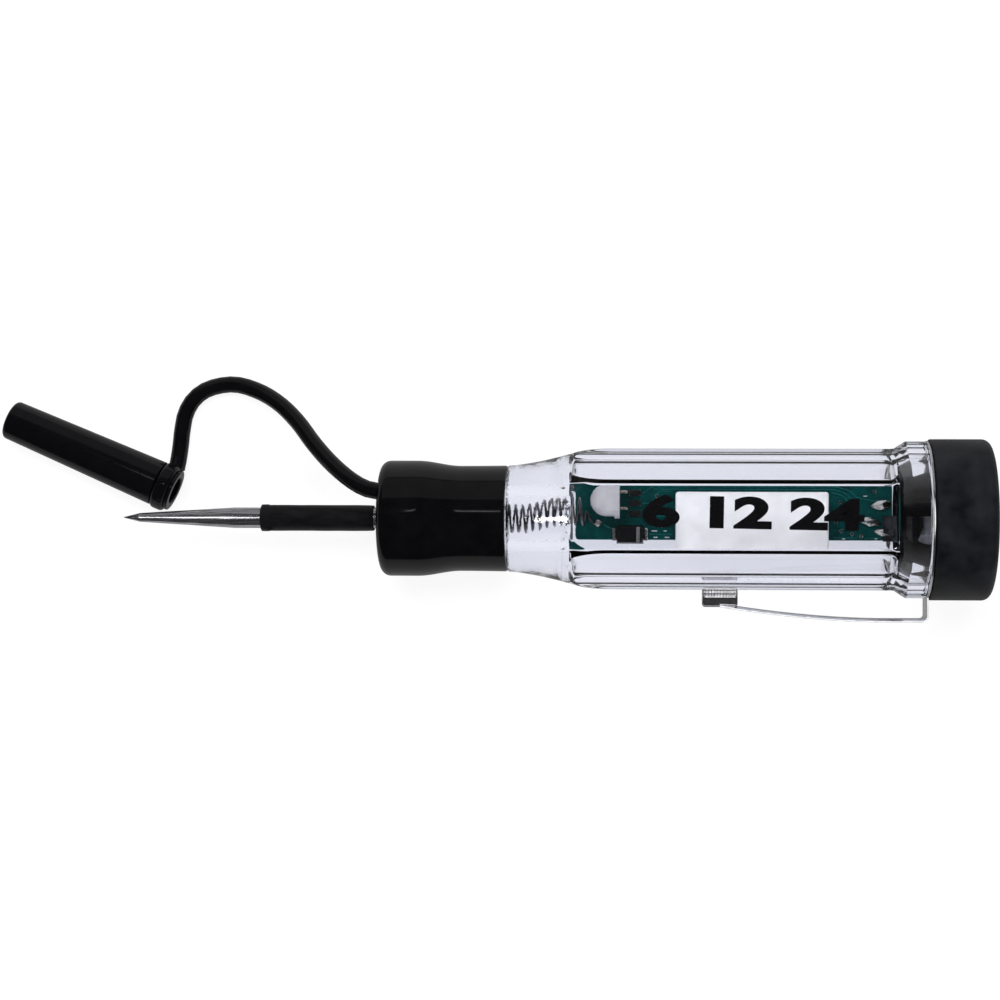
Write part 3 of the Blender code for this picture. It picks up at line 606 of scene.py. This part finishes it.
def outerRadius(station):
    size = handle
    kink, kinkRadius = size["kink"]
    if station <= kink:
        part = (station - size["front"]) / (kink - size["front"])
        return size["noseRadius"] + (kinkRadius - size["noseRadius"]) * part ** size["neckPower"]
    part = min(1.0, (station - kink) / size["shoulder"])
    return kinkRadius + (size["radius"] - kinkRadius) * (1 - (1 - part) ** 3)


def handleLine():
    size = handle
    flareFront, flareRear, flareRadius = size["flare"]
    neckFront, steps = size["front"] + 0.1, size["neckSteps"]
    stations = [neckFront + (size["kink"][0] - neckFront) * step / steps for step in range(steps)]
    for start, gap, count in size["stations"]:
        stations += [start + gap * step for step in range(count)]
    line = [(size["front"], size["noseRadius"] - 0.12)]
    line += [(station, outerRadius(station)) for station in stations]
    line += [tuple(point) for point in rounded([
        (flareFront - 0.1, size["radius"]), (flareFront, size["radius"], 0.08),
        (flareRear, flareRadius, 0.5), (size["rear"], flareRadius, 0.3),
        (size["rear"], size["mouth"], 0.15), (size["cavity"][1], size["mouth"]),
    ], 8)[1:]]
    cavityFront, cavityRear = size["cavity"][:2]
    mark = size["cavityMark"]
    line += [(cavityRear, mark), (cavityRear - 0.3, mark)]
    line += [(cavityRear - 6.0 * step, mark) for step in range(1, 9)]
    line += [(cavityFront + 0.3, mark), (cavityFront, mark)]
    spigotFront, spigotRadius = size["spigot"]
    line += [(cavityFront, size["springBore"]), (spigotFront, size["springBore"]),
             (spigotFront, spigotRadius), (size["front"], spigotRadius)]
    return line


def clearFinish():
    finish, tree, shader = newFinish("clearPlastic", (0.98, 0.98, 0.992), 0.015, values={
        "Transmission Weight": 1.0, "IOR": 1.49})
    vector = pieceCoords(tree, stretch=(3.0, 1.0, 1.0))
    flow = noiseOn(tree, vector, 0.35, detail=2.0)
    smooth = addBump(tree, shader, flow, 0.06, 0.05)
    # the neck is wavier than the flats
    swirl = noiseOn(tree, pieceCoords(tree), 0.55, detail=3.0, distortion=1.2)
    neckEnd = handle["kink"][0]
    onNeck = mapValue(tree, stationOn(tree), 1.0, 0.0, None, neckEnd - 0.5, neckEnd + 2.0)
    addBump(tree, shader, addMath(tree, "MULTIPLY", onNeck, swirl), 0.35, 0.12, smooth)
    rays = addNode(tree, "ShaderNodeLightPath")
    clear = addNode(tree, "ShaderNodeBsdfTransparent", {"Color": (0.98, 0.98, 0.99, 1.0)})
    mix = addNode(tree, "ShaderNodeMixShader")
    output = tree.nodes["Material Output"]
    tree.links.new(rays.outputs["Is Shadow Ray"], mix.inputs["Fac"])
    tree.links.new(shader.outputs["BSDF"], mix.inputs[1])
    tree.links.new(clear.outputs["BSDF"], mix.inputs[2])
    tree.links.new(mix.outputs["Shader"], output.inputs["Surface"])
    return finish


def cavityRadius(off, angle):
    # a hexagon whose corners are rounded: flats up to the fillet, then its circle
    flat, fillet = handle["cavity"][2:]
    if sector < abs(angle) < 2 * sector:
        return flat  # towards the sides the cavity is round
    centre = flat - fillet
    if abs(off) <= math.atan(centre * math.tan(sector / 2) / flat):
        return flat / math.cos(off)
    reach = centre / math.cos(sector / 2)
    lean = sector / 2 - abs(off)
    return reach * math.cos(lean) + math.sqrt(fillet ** 2 - (reach * math.sin(lean)) ** 2)


def makeHandle():
    size = handle
    bm = spinLine(handleLine(), size["sectorSteps"] * 6, closed=True)
    roll = math.radians(size["roll"])
    for corner in bm.verts:
        station, across, up = corner.co
        radius = math.hypot(across, up)
        angle = math.remainder(math.atan2(across, up) - roll, 2 * math.pi)
        middle = round(angle / sector) * sector
        off = (angle - middle) / (sector / 2)
        off = math.copysign(1 - (1 - min(1.0, abs(off))) ** size["spread"], off) * sector / 2
        angle = middle + off
        if radius > size["mouth"] + 0.3:
            radius = softMin(radius, flatDistance(station) / math.cos(off), size["edge"])
        elif station > size["kink"][0] - 1.0 and abs(radius - size["cavityMark"]) < 0.01:
            radius = cavityRadius(off, angle)
        corner.co.y = radius * math.sin(angle + roll)
        corner.co.z = radius * math.cos(angle + roll)
    bmesh.ops.recalc_face_normals(bm, faces=bm.faces[:])
    meshPiece("handle", bm, clearFinish(), ["clear_handle"], sharp=22.0)


makeHandle()
print("handle made")

# rear cap and pocket clip

cap = {
    "front": 124.3, "rear": 133.7, "radius": 12.4, "fillet": 1.35, "plug": (120.6, 6.1, 7.2),
    "hollow": (5.6, 128.7), "steps": 192,
    "slot": (4.4, 4.6, 1.7, -1.45, 0.6),  # length, width, and its middle from the plug's front rim
    "tones": ((0.0035, 0.004, 0.0055), (0.0155, 0.0175, 0.021)), "roughness": (0.36, 0.56),
    # the plug's colour is painted shade, darker than the cap's own rubber
    "plugPaintedShade": (0.0015, 0.0015, 0.002), "shine": (0.02, 0.35),  # shine of plug and cap
}
clip = {
    "ring": (123.8, 124.2, 9.45, 12.13),  # front, rear, bore, radius
    "reach": 15.5, "thickness": 0.5, "width": (3.4, 4.2), "curveStart": 117.0, "drop": 2.2,
    "power": 1.8, "bend": 0.8,
    # the arm's section in half widths and half thicknesses, one edge slanted
    "section": ((-1, -0.45), (-1, 0.45), (-0.94, 1), (0.75, 1), (1, -0.1), (1, -0.8), (0.94, -1),
                (-0.94, -1)),
    "pad": (89.6, 5.5, 2.5, 3.8, 0.45),  # front, length, depth, width, fillet
    "padSide": -12.3, "hollow": 0.7, "slope": 0.5,
    "knurl": (0.95, 0.1, 1.2),  # pitch, depth, smooth edge
    "tones": ((0.7, 0.7, 0.73), (0.94, 0.94, 0.97)), "roughness": (0.08, 0.2),
}


def makeCap():
    finish, tree, shader = newFinish("capRubber", (0.009, 0.009, 0.0105), 0.5, shine=0.35)
    size = cap
    vector = pieceCoords(tree)
    soft = noiseOn(tree, vector, 0.22, detail=4.0)
    fine = noiseOn(tree, vector, 7.0, detail=5.0, roughness=0.6)
    tones = blendColours(tree, soft, *size["tones"], shader.inputs["Base Color"])
    mapValue(tree, fine, *size["roughness"], shader.inputs["Roughness"])
    addBump(tree, shader, fine, 0.3, 0.03)
    # the plug inside the handle is smoother, and its colour is darkened: painted shade on the same
    # rubber as the cap
    station = stationOn(tree)
    change = (size["front"] - 0.2, size["front"] + 0.2)
    mapValue(tree, station, *size["shine"], shader.inputs["Specular IOR Level"], *change)
    shade = addNode(tree, "ShaderNodeMix", data_type="RGBA")
    factor, dark, light = (shade.inputs[number] for number in (0, 6, 7))
    dark.default_value = (*size["plugPaintedShade"], 1.0)
    mapValue(tree, station, 0.0, 1.0, factor, *change)
    tree.links.new(tones.outputs["Color"], light)
    tree.links.new(shade.outputs[2], shader.inputs["Base Color"])
    plugFront, plugTip, plugRadius = size["plug"]
    hollowRadius, hollowEnd = size["hollow"]
    line = rounded([
        (size["rear"], 0.0), (size["rear"], size["radius"], size["fillet"]),
        (size["front"], size["radius"], 0.3), (size["front"], plugRadius, 0.2),
        (size["front"] - 0.9, plugRadius, 0.6), (plugFront, plugTip, 0.4),
        (plugFront, hollowRadius, 0.2), (hollowEnd, hollowRadius, 0.3), (hollowEnd, 0.0),
    ], 8)
    body = newMesh("cap", spinLine(line, size["steps"]))
    tool = bmesh.new()
    length, width, behind, across, above = size["slot"]
    boxShape(tool, (length, width, plugRadius / 2),
             (plugFront + behind, across, plugRadius + above))
    newPiece("cap", cutMesh(body, [newMesh("slot", tool)]), finish, ["rear_cap"])


def clipPath():
    size = clip
    ringMiddle, rim = sum(size["ring"][:2]) / 2, size["ring"][3]
    padMiddle = size["pad"][0] + size["pad"][1] / 2
    path = [(ringMiddle, 0.5 - rim), (ringMiddle, -0.6 - rim)]
    for step in range(9):
        angle = math.pi / 2 * step / 8
        path.append((ringMiddle - size["bend"] + size["bend"] * math.cos(angle),
                     -(size["reach"] - size["bend"] + size["bend"] * math.sin(angle))))
    for step in range(49):
        part = step / 48
        station = size["curveStart"] + (padMiddle - size["curveStart"]) * part
        path.append((station, -size["reach"] + size["drop"] * part ** size["power"]))
    return path


def knurledPad(bm):
    # a rounded block whose skin is pressed into crossed ridges, away from its outer edge
    front, length, depth, width, fillet = clip["pad"]
    pitch, deep, smoothEdge = clip["knurl"]
    pad = bmesh.new()
    bmesh.ops.create_cube(pad, size=1.0)
    bmesh.ops.subdivide_edges(pad, edges=pad.edges[:], cuts=56, use_grid_fill=True)
    half = Vector((length, depth, width)) / 2
    for corner in pad.verts:
        spot = Vector(part * 2 * reach for part, reach in zip(corner.co, half))
        core = Vector(max(fillet - reach, min(reach - fillet, part))
                      for part, reach in zip(spot, half))
        outward = (spot - core).normalized()
        ridge = (math.sin(2 * math.pi * (spot.x + spot.y) / pitch)
                 * math.sin(2 * math.pi * (spot.x - spot.y) / pitch))
        flat = min(1.0, max(0.0, (spot.y + half.y - smoothEdge) / 0.2)) * abs(outward.z)
        corner.co = core + outward * (fillet - deep * (1 - ridge) * flat / 2)
        # the outer edge slopes, and the side towards the handle is hollow
        slope = clip["slope"] * max(0.0, smoothEdge - spot.y - half.y)
        corner.co.z -= math.copysign(slope, spot.z) * min(1.0, abs(spot.z) / half.z)
        inside = (spot.y + half.y) / depth
        corner.co.y += clip["hollow"] * inside * (abs(spot.z) / half.z) ** 1.5
        corner.co += Vector((front + half.x, clip["padSide"], 0.0))
    addPart(bm, pad)


def makeClip():
    finish, tree, shader = newFinish("clipChrome", (0.9, 0.9, 0.93), 0.12, 0.99)
    size = clip
    vector = pieceCoords(tree, stretch=(1.6, 1.0, 1.0))
    mottle = noiseOn(tree, vector, 2.4, detail=6.0, roughness=0.65, distortion=0.8)
    blendColours(tree, mottle, *size["tones"], shader.inputs["Base Color"], 0.36, 0.6)
    mapValue(tree, mottle, *size["roughness"], shader.inputs["Roughness"])
    addBump(tree, shader, mottle, 0.16, 0.04)
    front, rear, bore, radius = size["ring"]
    line = rounded([(rear, bore), (rear, radius, 0.12), (front, radius, 0.12), (front, bore)], 4)
    bm = spinLine(line, 192, closed=True)
    # the arm: its section is carried along the path
    path = [Vector((station, side, 0.0)) for station, side in clipPath()]
    narrow, wide = size["width"]
    half = size["thickness"] / 2
    rows = []
    for index, point in enumerate(path):
        ahead = path[min(index + 1, len(path) - 1)] - path[max(index - 1, 0)]
        outward = Vector((ahead.y, -ahead.x, 0.0)).normalized()
        share = (point.x - path[-1].x) / (path[0].x - path[-1].x)
        width = (narrow + (wide - narrow) * share) / 2
        rows.append([bm.verts.new(point + outward * out * half
                                  + Vector((0.0, 0.0, across * width)))
                     for across, out in size["section"]])
    edges = [[bm.edges.new(pair) for pair in zip(row, row[1:] + row[:1])] for row in rows]
    for first, second in zip(edges, edges[1:]):
        bmesh.ops.bridge_loops(bm, edges=first + second)
    bm.faces.new(rows[0])
    bm.faces.new(list(reversed(rows[-1])))
    knurledPad(bm)
    bmesh.ops.recalc_face_normals(bm, faces=bm.faces[:])
    meshPiece("pocketClip", bm, finish, ["pocket_clip"])


makeCap()
makeClip()
print("cap and clip made")

# finishes for the solids; pieces on the board share some of them

kept = {
    "needle_socket": plainFinish("socketBrass", (0.72, 0.5, 0.2), 0.25, 1.0, grain=5.0),
    "circuit_board": plainFinish("boardMask", (0.001, 0.046, 0.046), 0.25, shine=0.12,
                                 grain=4.0, tone=0.6),
    "front_led": plainFinish("clearLens", (0.9, 0.9, 0.96), 0.06, grain=3.0, spread=0.04,
                             values={"Transmission Weight": 0.45, "IOR": 1.5}),
    "front_led_leg_1": plainFinish("ledLegs", (0.6, 0.5, 0.45), 0.25, 1.0),
    "diode_body": plainFinish("diodeBlack", (0.004, 0.004, 0.005), 0.3, shine=0.25, grain=8.0),
    "diode_terminal_1": plainFinish("tinnedEnds", (0.7, 0.7, 0.7), 0.25, 1.0, grain=9.0),
    "resistor_1": plainFinish("chipCeramic", (0.008, 0.008, 0.01), 0.35, shine=0.25, grain=9.0),
    "light_bar": plainFinish("milkyBar", (0.93, 0.94, 0.98), 0.35, shine=0.2, grain=3.0, tone=0.9),
    "led_red": plainFinish("signalRed", (0.7, 0.05, 0.03), 0.3, grain=5.0),
    "led_green": plainFinish("signalGreen", (0.08, 0.5, 0.1), 0.3, grain=5.0),
    "spring_solder": plainFinish("brightSolder", (0.68, 0.68, 0.68), 0.16, 1.0, grain=2.5,
                                 bump=0.05),
    "clip_contact": plainFinish("leafSteel", (0.2, 0.2, 0.22), 0.18, 1.0, grain=4.0, tone=0.4),
}
same = {"front_led_leg_2": "front_led_leg_1", "diode_terminal_2": "diode_terminal_1",
        "resistor_2": "resistor_1", "resistor_3": "resistor_1", "rear_solder_1": "spring_solder",
        "rear_solder_2": "spring_solder", "rear_solder_3": "spring_solder"}
for node, like in same.items():
    kept[node] = kept[like]
for node, finish in kept.items():
    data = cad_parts[node].data
    data.materials.clear()
    data.materials.append(finish)

# small parts on the board: diode's case, chips' ends, solder, traces, pads and marks

board = {
    # diode and chips: station, side or sides, length, width, height
    "face": -2.6, "diode": (78.45, -2.45, 4.2, 2.9, 2.2), "taper": (0.93, 1.0, 0.82),
    "band": (0.55, 0.03), "chips": (79.2, (4.0, 2.4, 0.8), 1.8, 0.95, 0.5), "chipEnd": 0.34,
    "traceRadius": 0.075,
    "traces": (
        ((82.0, 5.0), (110.5, 5.0), (112.5, 4.4), (113.6, 3.4), (117.4, 2.6)),
        ((82.0, 4.6), (110.2, 4.6), (111.9, 4.0), (112.8, 3.1), (113.2, 1.2), (115.4, 0.0)),
        ((109.6, 4.2), (111.3, 3.7), (112.1, 2.9), (112.4, 0.8)),
        ((74.2, -0.9), (75.6, -1.6), (76.0, -2.4)), ((80.4, 4.0), (82.0, 5.0)),
        ((80.4, 2.4), (81.6, 2.4), (83.0, 4.3), (85.0, 4.3)),
        ((80.4, 0.8), (82.4, 0.4), (84.9, 0.4)), ((81.3, -2.4), (84.9, -2.4)),
        ((110.0, -2.9), (117.2, -2.9), (118.2, -2.2)),
    ),
    "pads": ((82.6, 3.5), (83.9, 3.0), (82.3, -0.7), (83.4, -1.1), (84.3, -0.5), (112.4, 0.6),
             (111.2, -1.8), (112.9, -2.3), (114.3, -2.6), (111.0, 2.6), (116.3, 4.3),
             (110.4, -0.4)),
    "padSize": (0.34, 0.15, 0.05),  # radius, hole, thickness
    "marks": ((82.2, -1.9, 0.9), (83.9, -1.9, 0.5), (82.4, -2.9, 0.6), (84.2, -2.9, 0.7),
              (81.8, 1.5, 0.5), (111.6, -3.05, 0.5), (116.6, -3.0, 0.4), (114.9, 3.6, 0.6)),
    "markSize": (0.14, 0.03),
}
solders = {
    # node: piece, station, side, length, width, height, lean
    "spring_solder": ("springSolder", 73.4, -0.7, 1.7, 1.4, 0.85, 10.0),
    "rear_solder_1": ("rearSolderA", 117.5, 2.2, 3.8, 2.1, 1.3, 6.0),
    "rear_solder_2": ("rearSolderB", 115.6, -0.4, 3.8, 1.7, 1.2, -10.0),
    "rear_solder_3": ("rearSolderC", 117.6, -2.0, 2.9, 1.4, 1.0, -8.0),
}


def plateShape(bm, length, width, low, high, station, side):
    boxShape(bm, (length, width, high - low), (station, side, (low + high) / 2))


def makeDiode():
    station, side, length, width, height = board["diode"]
    base, middle, top = board["taper"]
    bm = bmesh.new()
    rings = []
    for share, up in ((base, 0.02), (middle, 0.42), (middle, 0.5), (top, 1.0)):
        rings.append([bm.verts.new((station + dx * length * (0.5 - (1 - share) * 0.3),
                                    side + dy * width * share / 2,
                                    board["face"] + height * up))
                      for dx, dy in ((-1, -1), (1, -1), (1, 1), (-1, 1))])
    for low, high in zip(rings, rings[1:]):
        for n in range(4):
            bm.faces.new((low[n], low[(n + 1) % 4], high[(n + 1) % 4], high[n]))
    bm.faces.new(list(reversed(rings[0])))
    bm.faces.new(rings[-1])
    bmesh.ops.bevel(bm, geom=bm.edges[:], offset=0.07, segments=3, profile=0.5, affect="EDGES",
                    material=-1)
    bmesh.ops.recalc_face_normals(bm, faces=bm.faces[:])
    meshPiece("diodeCase", bm, kept["diode_body"], ["diode_body"])
    bandWidth, bandThick = board["band"]
    bm = bmesh.new()
    face = board["face"] + height
    plateShape(bm, bandWidth, width * top * 0.98, face, face + bandThick, station + length * 0.3,
               side)
    ink = plainFinish("greyInk", (0.13, 0.13, 0.14), 0.4, tone=0.6)
    meshPiece("diodeBand", bm, ink)


def makeChipEnds():
    bm = bmesh.new()
    middle, sides, length, width, height = board["chips"]
    end = board["chipEnd"]
    for side in sides:
        for way in (-1, 1):
            plateShape(bm, end, width + 0.04, board["face"], board["face"] + height + 0.03,
                       middle + way * (length - end + 0.05) / 2, side)
    meshPiece("chipEnds", bm, kept["diode_terminal_1"])


def makeSolder(node, name, station, side, length, width, height, lean):
    # a cone of solder drawn out along its wire, a little uneven
    bm = bmesh.new()
    bmesh.ops.create_uvsphere(bm, u_segments=48, v_segments=24, radius=0.5)
    for corner in bm.verts:
        drawn = 1.0 - 0.35 * abs(2 * corner.co.x)
        wave = 1 + 0.12 * noise.noise(Vector(corner.co) * 4.0 + Vector((station, side, 0.0)))
        corner.co.x *= length
        corner.co.y *= width * drawn * wave
        corner.co.z = max(corner.co.z * 2 * height * drawn * wave, -0.02)
    turnAll(bm, lean, "Z")
    bmesh.ops.translate(bm, vec=(station, side, board["face"]), verts=bm.verts[:])
    meshPiece(name, bm, kept["spring_solder"], [node], sharp=60.0)


def makeBoardPrint():
    face = board["face"]
    copper = plainFinish("maskedCopper", (0.004, 0.1, 0.1), 0.3, shine=0.2, grain=5.0, tone=0.7)
    lines = [[(station, side, face) for station, side in line] for line in board["traces"]]
    traces = wireCurves("traces", lines, board["traceRadius"], 3, testerPlace)
    newPiece("traces", traces, copper)
    outer, hole, thick = board["padSize"]
    bm = bmesh.new()
    for station, side in board["pads"]:
        line = [(0.0, hole), (thick, hole), (thick, outer), (0.0, outer)]
        ring = spinLine(line, 24, closed=True)
        turnAll(ring, -90.0, "Y")
        bmesh.ops.translate(ring, vec=(station, side, face), verts=ring.verts[:])
        addPart(bm, ring)
    meshPiece("pads", bm, kept["diode_terminal_1"])
    ink = plainFinish("whiteInk", (0.6, 0.62, 0.66), 0.5, tone=0.7)
    bm = bmesh.new()
    width, thick = board["markSize"]
    for station, side, length in board["marks"]:
        plateShape(bm, length, width, face, face + thick, station, side)
    meshPiece("boardMarks", bm, ink)


makeDiode()
makeChipEnds()
for node, shape in solders.items():
    makeSolder(node, *shape)
makeBoardPrint()
print("board dressed")

# numbers printed on the top flat

numbers = {
    "text": "6 12 24", "x": (80.5, 113.8), "y": (-1.87, 3.18), "z": 9.545, "thick": 0.03,
    "lean": -1.0, "bold": 0.018, "extrude": 0.01, "bevel": 0.032, "curveSteps": 12,
}


def makeNumbers():
    finish = plainFinish("printBlack", (0.004, 0.004, 0.005), 0.3, shine=0.3, bump=0.008)
    words = bpy.data.curves.new("numbers", "FONT")
    words.body = numbers["text"]
    words.offset = numbers["bold"]
    words.extrude = numbers["extrude"]
    words.bevel_depth = numbers["bevel"]
    words.bevel_resolution = 0
    words.resolution_u = numbers["curveSteps"]
    holder = bpy.data.objects.new("numbers", words)
    scene.collection.objects.link(holder)
    mesh = bpy.data.meshes.new_from_object(
        holder.evaluated_get(bpy.context.evaluated_depsgraph_get()))
    bpy.data.objects.remove(holder)
    bm = bmesh.new()
    bm.from_mesh(mesh)
    low = [min(corner.co[axis] for corner in bm.verts) for axis in range(3)]
    high = [max(corner.co[axis] for corner in bm.verts) for axis in range(3)]
    goal = (numbers["x"], numbers["y"], (numbers["z"], numbers["z"] + numbers["thick"]))
    for corner in bm.verts:
        for axis in range(3):
            share = (corner.co[axis] - low[axis]) / (high[axis] - low[axis])
            corner.co[axis] = goal[axis][0] + (goal[axis][1] - goal[axis][0]) * share
    bmesh.ops.remove_doubles(bm, verts=bm.verts[:], dist=0.001)
    centre = [(low + high) / 2 for low, high in goal]
    turnAll(bm, numbers["lean"], "Z", centre)
    # the flat that carries them is rolled about the tester's axis
    turnAll(bm, -handle["roll"], "X")
    meshPiece("numbers", bm, finish)


makeNumbers()
print("numbers printed")

# floor, lamps and world

studio = {
    "floorGlow": 0.86, "floorGlossy": 0.15, "floorColour": 0.2,  # seen, mirrored and lit
    "through": (0.5, 0.52, 0.605), "throughFar": (0.42, 0.43, 0.49), "near": (0.03, 0.16),
    "floorSize": 3.0, "world": 0.22, "worldGlossy": 0.03, "worldColour": (0.98, 0.98, 1.0),
    "worldThrough": 0.95, "worldAbove": 0.23, "above": (0.35, 0.8),
}
lamps = {
    # place, aim, size, power, whether it shows in reflections
    "key": ((-0.05, 0.25, 0.55), (0, 0, 0), (0.5, 0.3), 2.6, False),
    "fill": ((0.1, -0.35, 0.5), (0, 0, 0), (0.5, 0.3), 1.3, False),
    "sidePanel": ((0.0, 0.45, 0.22), (0, 0, 0.02), (0.9, 0.42), 0.21, True),
    "strip": ((-0.085, 0.16, 0.55), (0, 0, 0), (0.07, 0.012), 0.01, True),
}
cards = {
    # the piece that it lights, place, aim, size, power
    "taperCard": ("needle", (-0.28, 0.0, 0.5), (0, 0, 0), (0.12, 0.26), 0.28),
    "shankCard": ("needle", (-0.16, 0.09, 0.5), (0, 0, 0), (0.12, 0.34), 0.012),
    "clipCard": ("pocketClip", (0.04, 0.04, 0.5), (0, 0, 0), (0.4, 0.34), 0.5),
    "glare": ("handle", (-0.345, -0.01, 0.5), (0, 0, 0.01), (0.08, 0.14), 1.0),
}


def raySum(tree, shares):
    # adds up kinds of ray, each with its share
    rays = addNode(tree, "ShaderNodeLightPath")
    total = 0.0
    for kind, share in shares.items():
        total = addMath(tree, "ADD", total,
                        addMath(tree, "MULTIPLY", rays.outputs[kind], share))
    return total


def makeFloor():
    bm = bmesh.new()
    bmesh.ops.create_grid(bm, x_segments=1, y_segments=1, size=studio["floorSize"])
    mesh = bpy.data.meshes.new("floor")
    bm.to_mesh(mesh)
    bm.free()
    floor = bpy.data.objects.new("floor", mesh)
    scene.collection.objects.link(floor)
    paper = bpy.data.materials.new("whitePaper")
    paper.use_nodes = True
    tree = paper.node_tree
    tree.nodes.remove(tree.nodes["Principled BSDF"])
    colour = studio["floorColour"]
    diffuse = addNode(tree, "ShaderNodeBsdfDiffuse", {"Color": (colour, colour, colour, 1.0)})
    glow = addNode(tree, "ShaderNodeEmission")
    seen = raySum(tree, {
        "Is Camera Ray": studio["floorGlow"], "Is Glossy Ray": studio["floorGlossy"]})
    tree.links.new(seen, glow.inputs["Strength"])
    through = addNode(tree, "ShaderNodeEmission")
    tree.links.new(raySum(tree, {"Is Transmission Ray": 1.0}), through.inputs["Strength"])
    coords = addNode(tree, "ShaderNodeTexCoord")
    distance = addNode(tree, "ShaderNodeVectorMath", operation="LENGTH")
    tree.links.new(coords.outputs["Object"], distance.inputs[0])
    share = mapValue(tree, distance.outputs["Value"], 0.0, 1.0, None, *studio["near"])
    blendColours(tree, share, studio["through"], studio["throughFar"], through.inputs["Color"],
                 0.0, 1.0)
    total = diffuse
    for light in (glow, through):
        both = addNode(tree, "ShaderNodeAddShader")
        tree.links.new(total.outputs[0], both.inputs[0])
        tree.links.new(light.outputs[0], both.inputs[1])
        total = both
    tree.links.new(total.outputs[0], tree.nodes["Material Output"].inputs["Surface"])
    mesh.materials.append(paper)


def addLamp(name, place, aim, size, power, glossy=True):
    data = bpy.data.lights.new(name, "AREA")
    data.shape = "RECTANGLE"
    data.size, data.size_y = size
    data.energy = power
    lamp = bpy.data.objects.new(name, data)
    lamp.location = place
    lamp.rotation_mode = "QUATERNION"
    lamp.rotation_quaternion = (Vector(aim) - Vector(place)).to_track_quat("-Z", "Y")
    lamp.visible_glossy = glossy
    lamp.visible_transmission = glossy
    scene.collection.objects.link(lamp)
    return lamp


def addCard(name, piece, place, aim, size, power):
    # a lamp that shows only as a reflection on one piece
    card = addLamp(name, place, aim, size, power)
    card.visible_transmission = False
    card.visible_diffuse = False
    lit = bpy.data.collections.new(name + "Pieces")
    lit.objects.link(bpy.data.objects[piece])
    card.light_linking.receiver_collection = lit


def makeWorld():
    world = bpy.data.worlds.new("studio")
    scene.world = world
    world.use_nodes = True
    tree = world.node_tree
    background = tree.nodes["Background"]
    background.inputs["Color"].default_value = (*studio["worldColour"], 1.0)
    level = studio["world"]
    rays = raySum(tree, {
        "Is Camera Ray": 1.0 - level, "Is Glossy Ray": studio["worldGlossy"] - level})
    # what the clear plastic shows is light towards the sides and dark overhead
    coords = addNode(tree, "ShaderNodeTexCoord")
    parts = addNode(tree, "ShaderNodeSeparateXYZ")
    tree.links.new(coords.outputs["Generated"], parts.inputs["Vector"])
    heights = mapValue(tree, parts.outputs["Z"], studio["worldThrough"] - level,
                       studio["worldAbove"] - level, None, *studio["above"])
    through = addMath(tree, "MULTIPLY", raySum(tree, {"Is Transmission Ray": 1.0}), heights)
    strength = addMath(tree, "ADD", addMath(tree, "ADD", rays, level), through)
    tree.links.new(strength, background.inputs["Strength"])


makeFloor()
makeWorld()
for name, setting in lamps.items():
    addLamp(name, *setting)
for name, setting in cards.items():
    addCard(name, *setting)
print("studio ready")
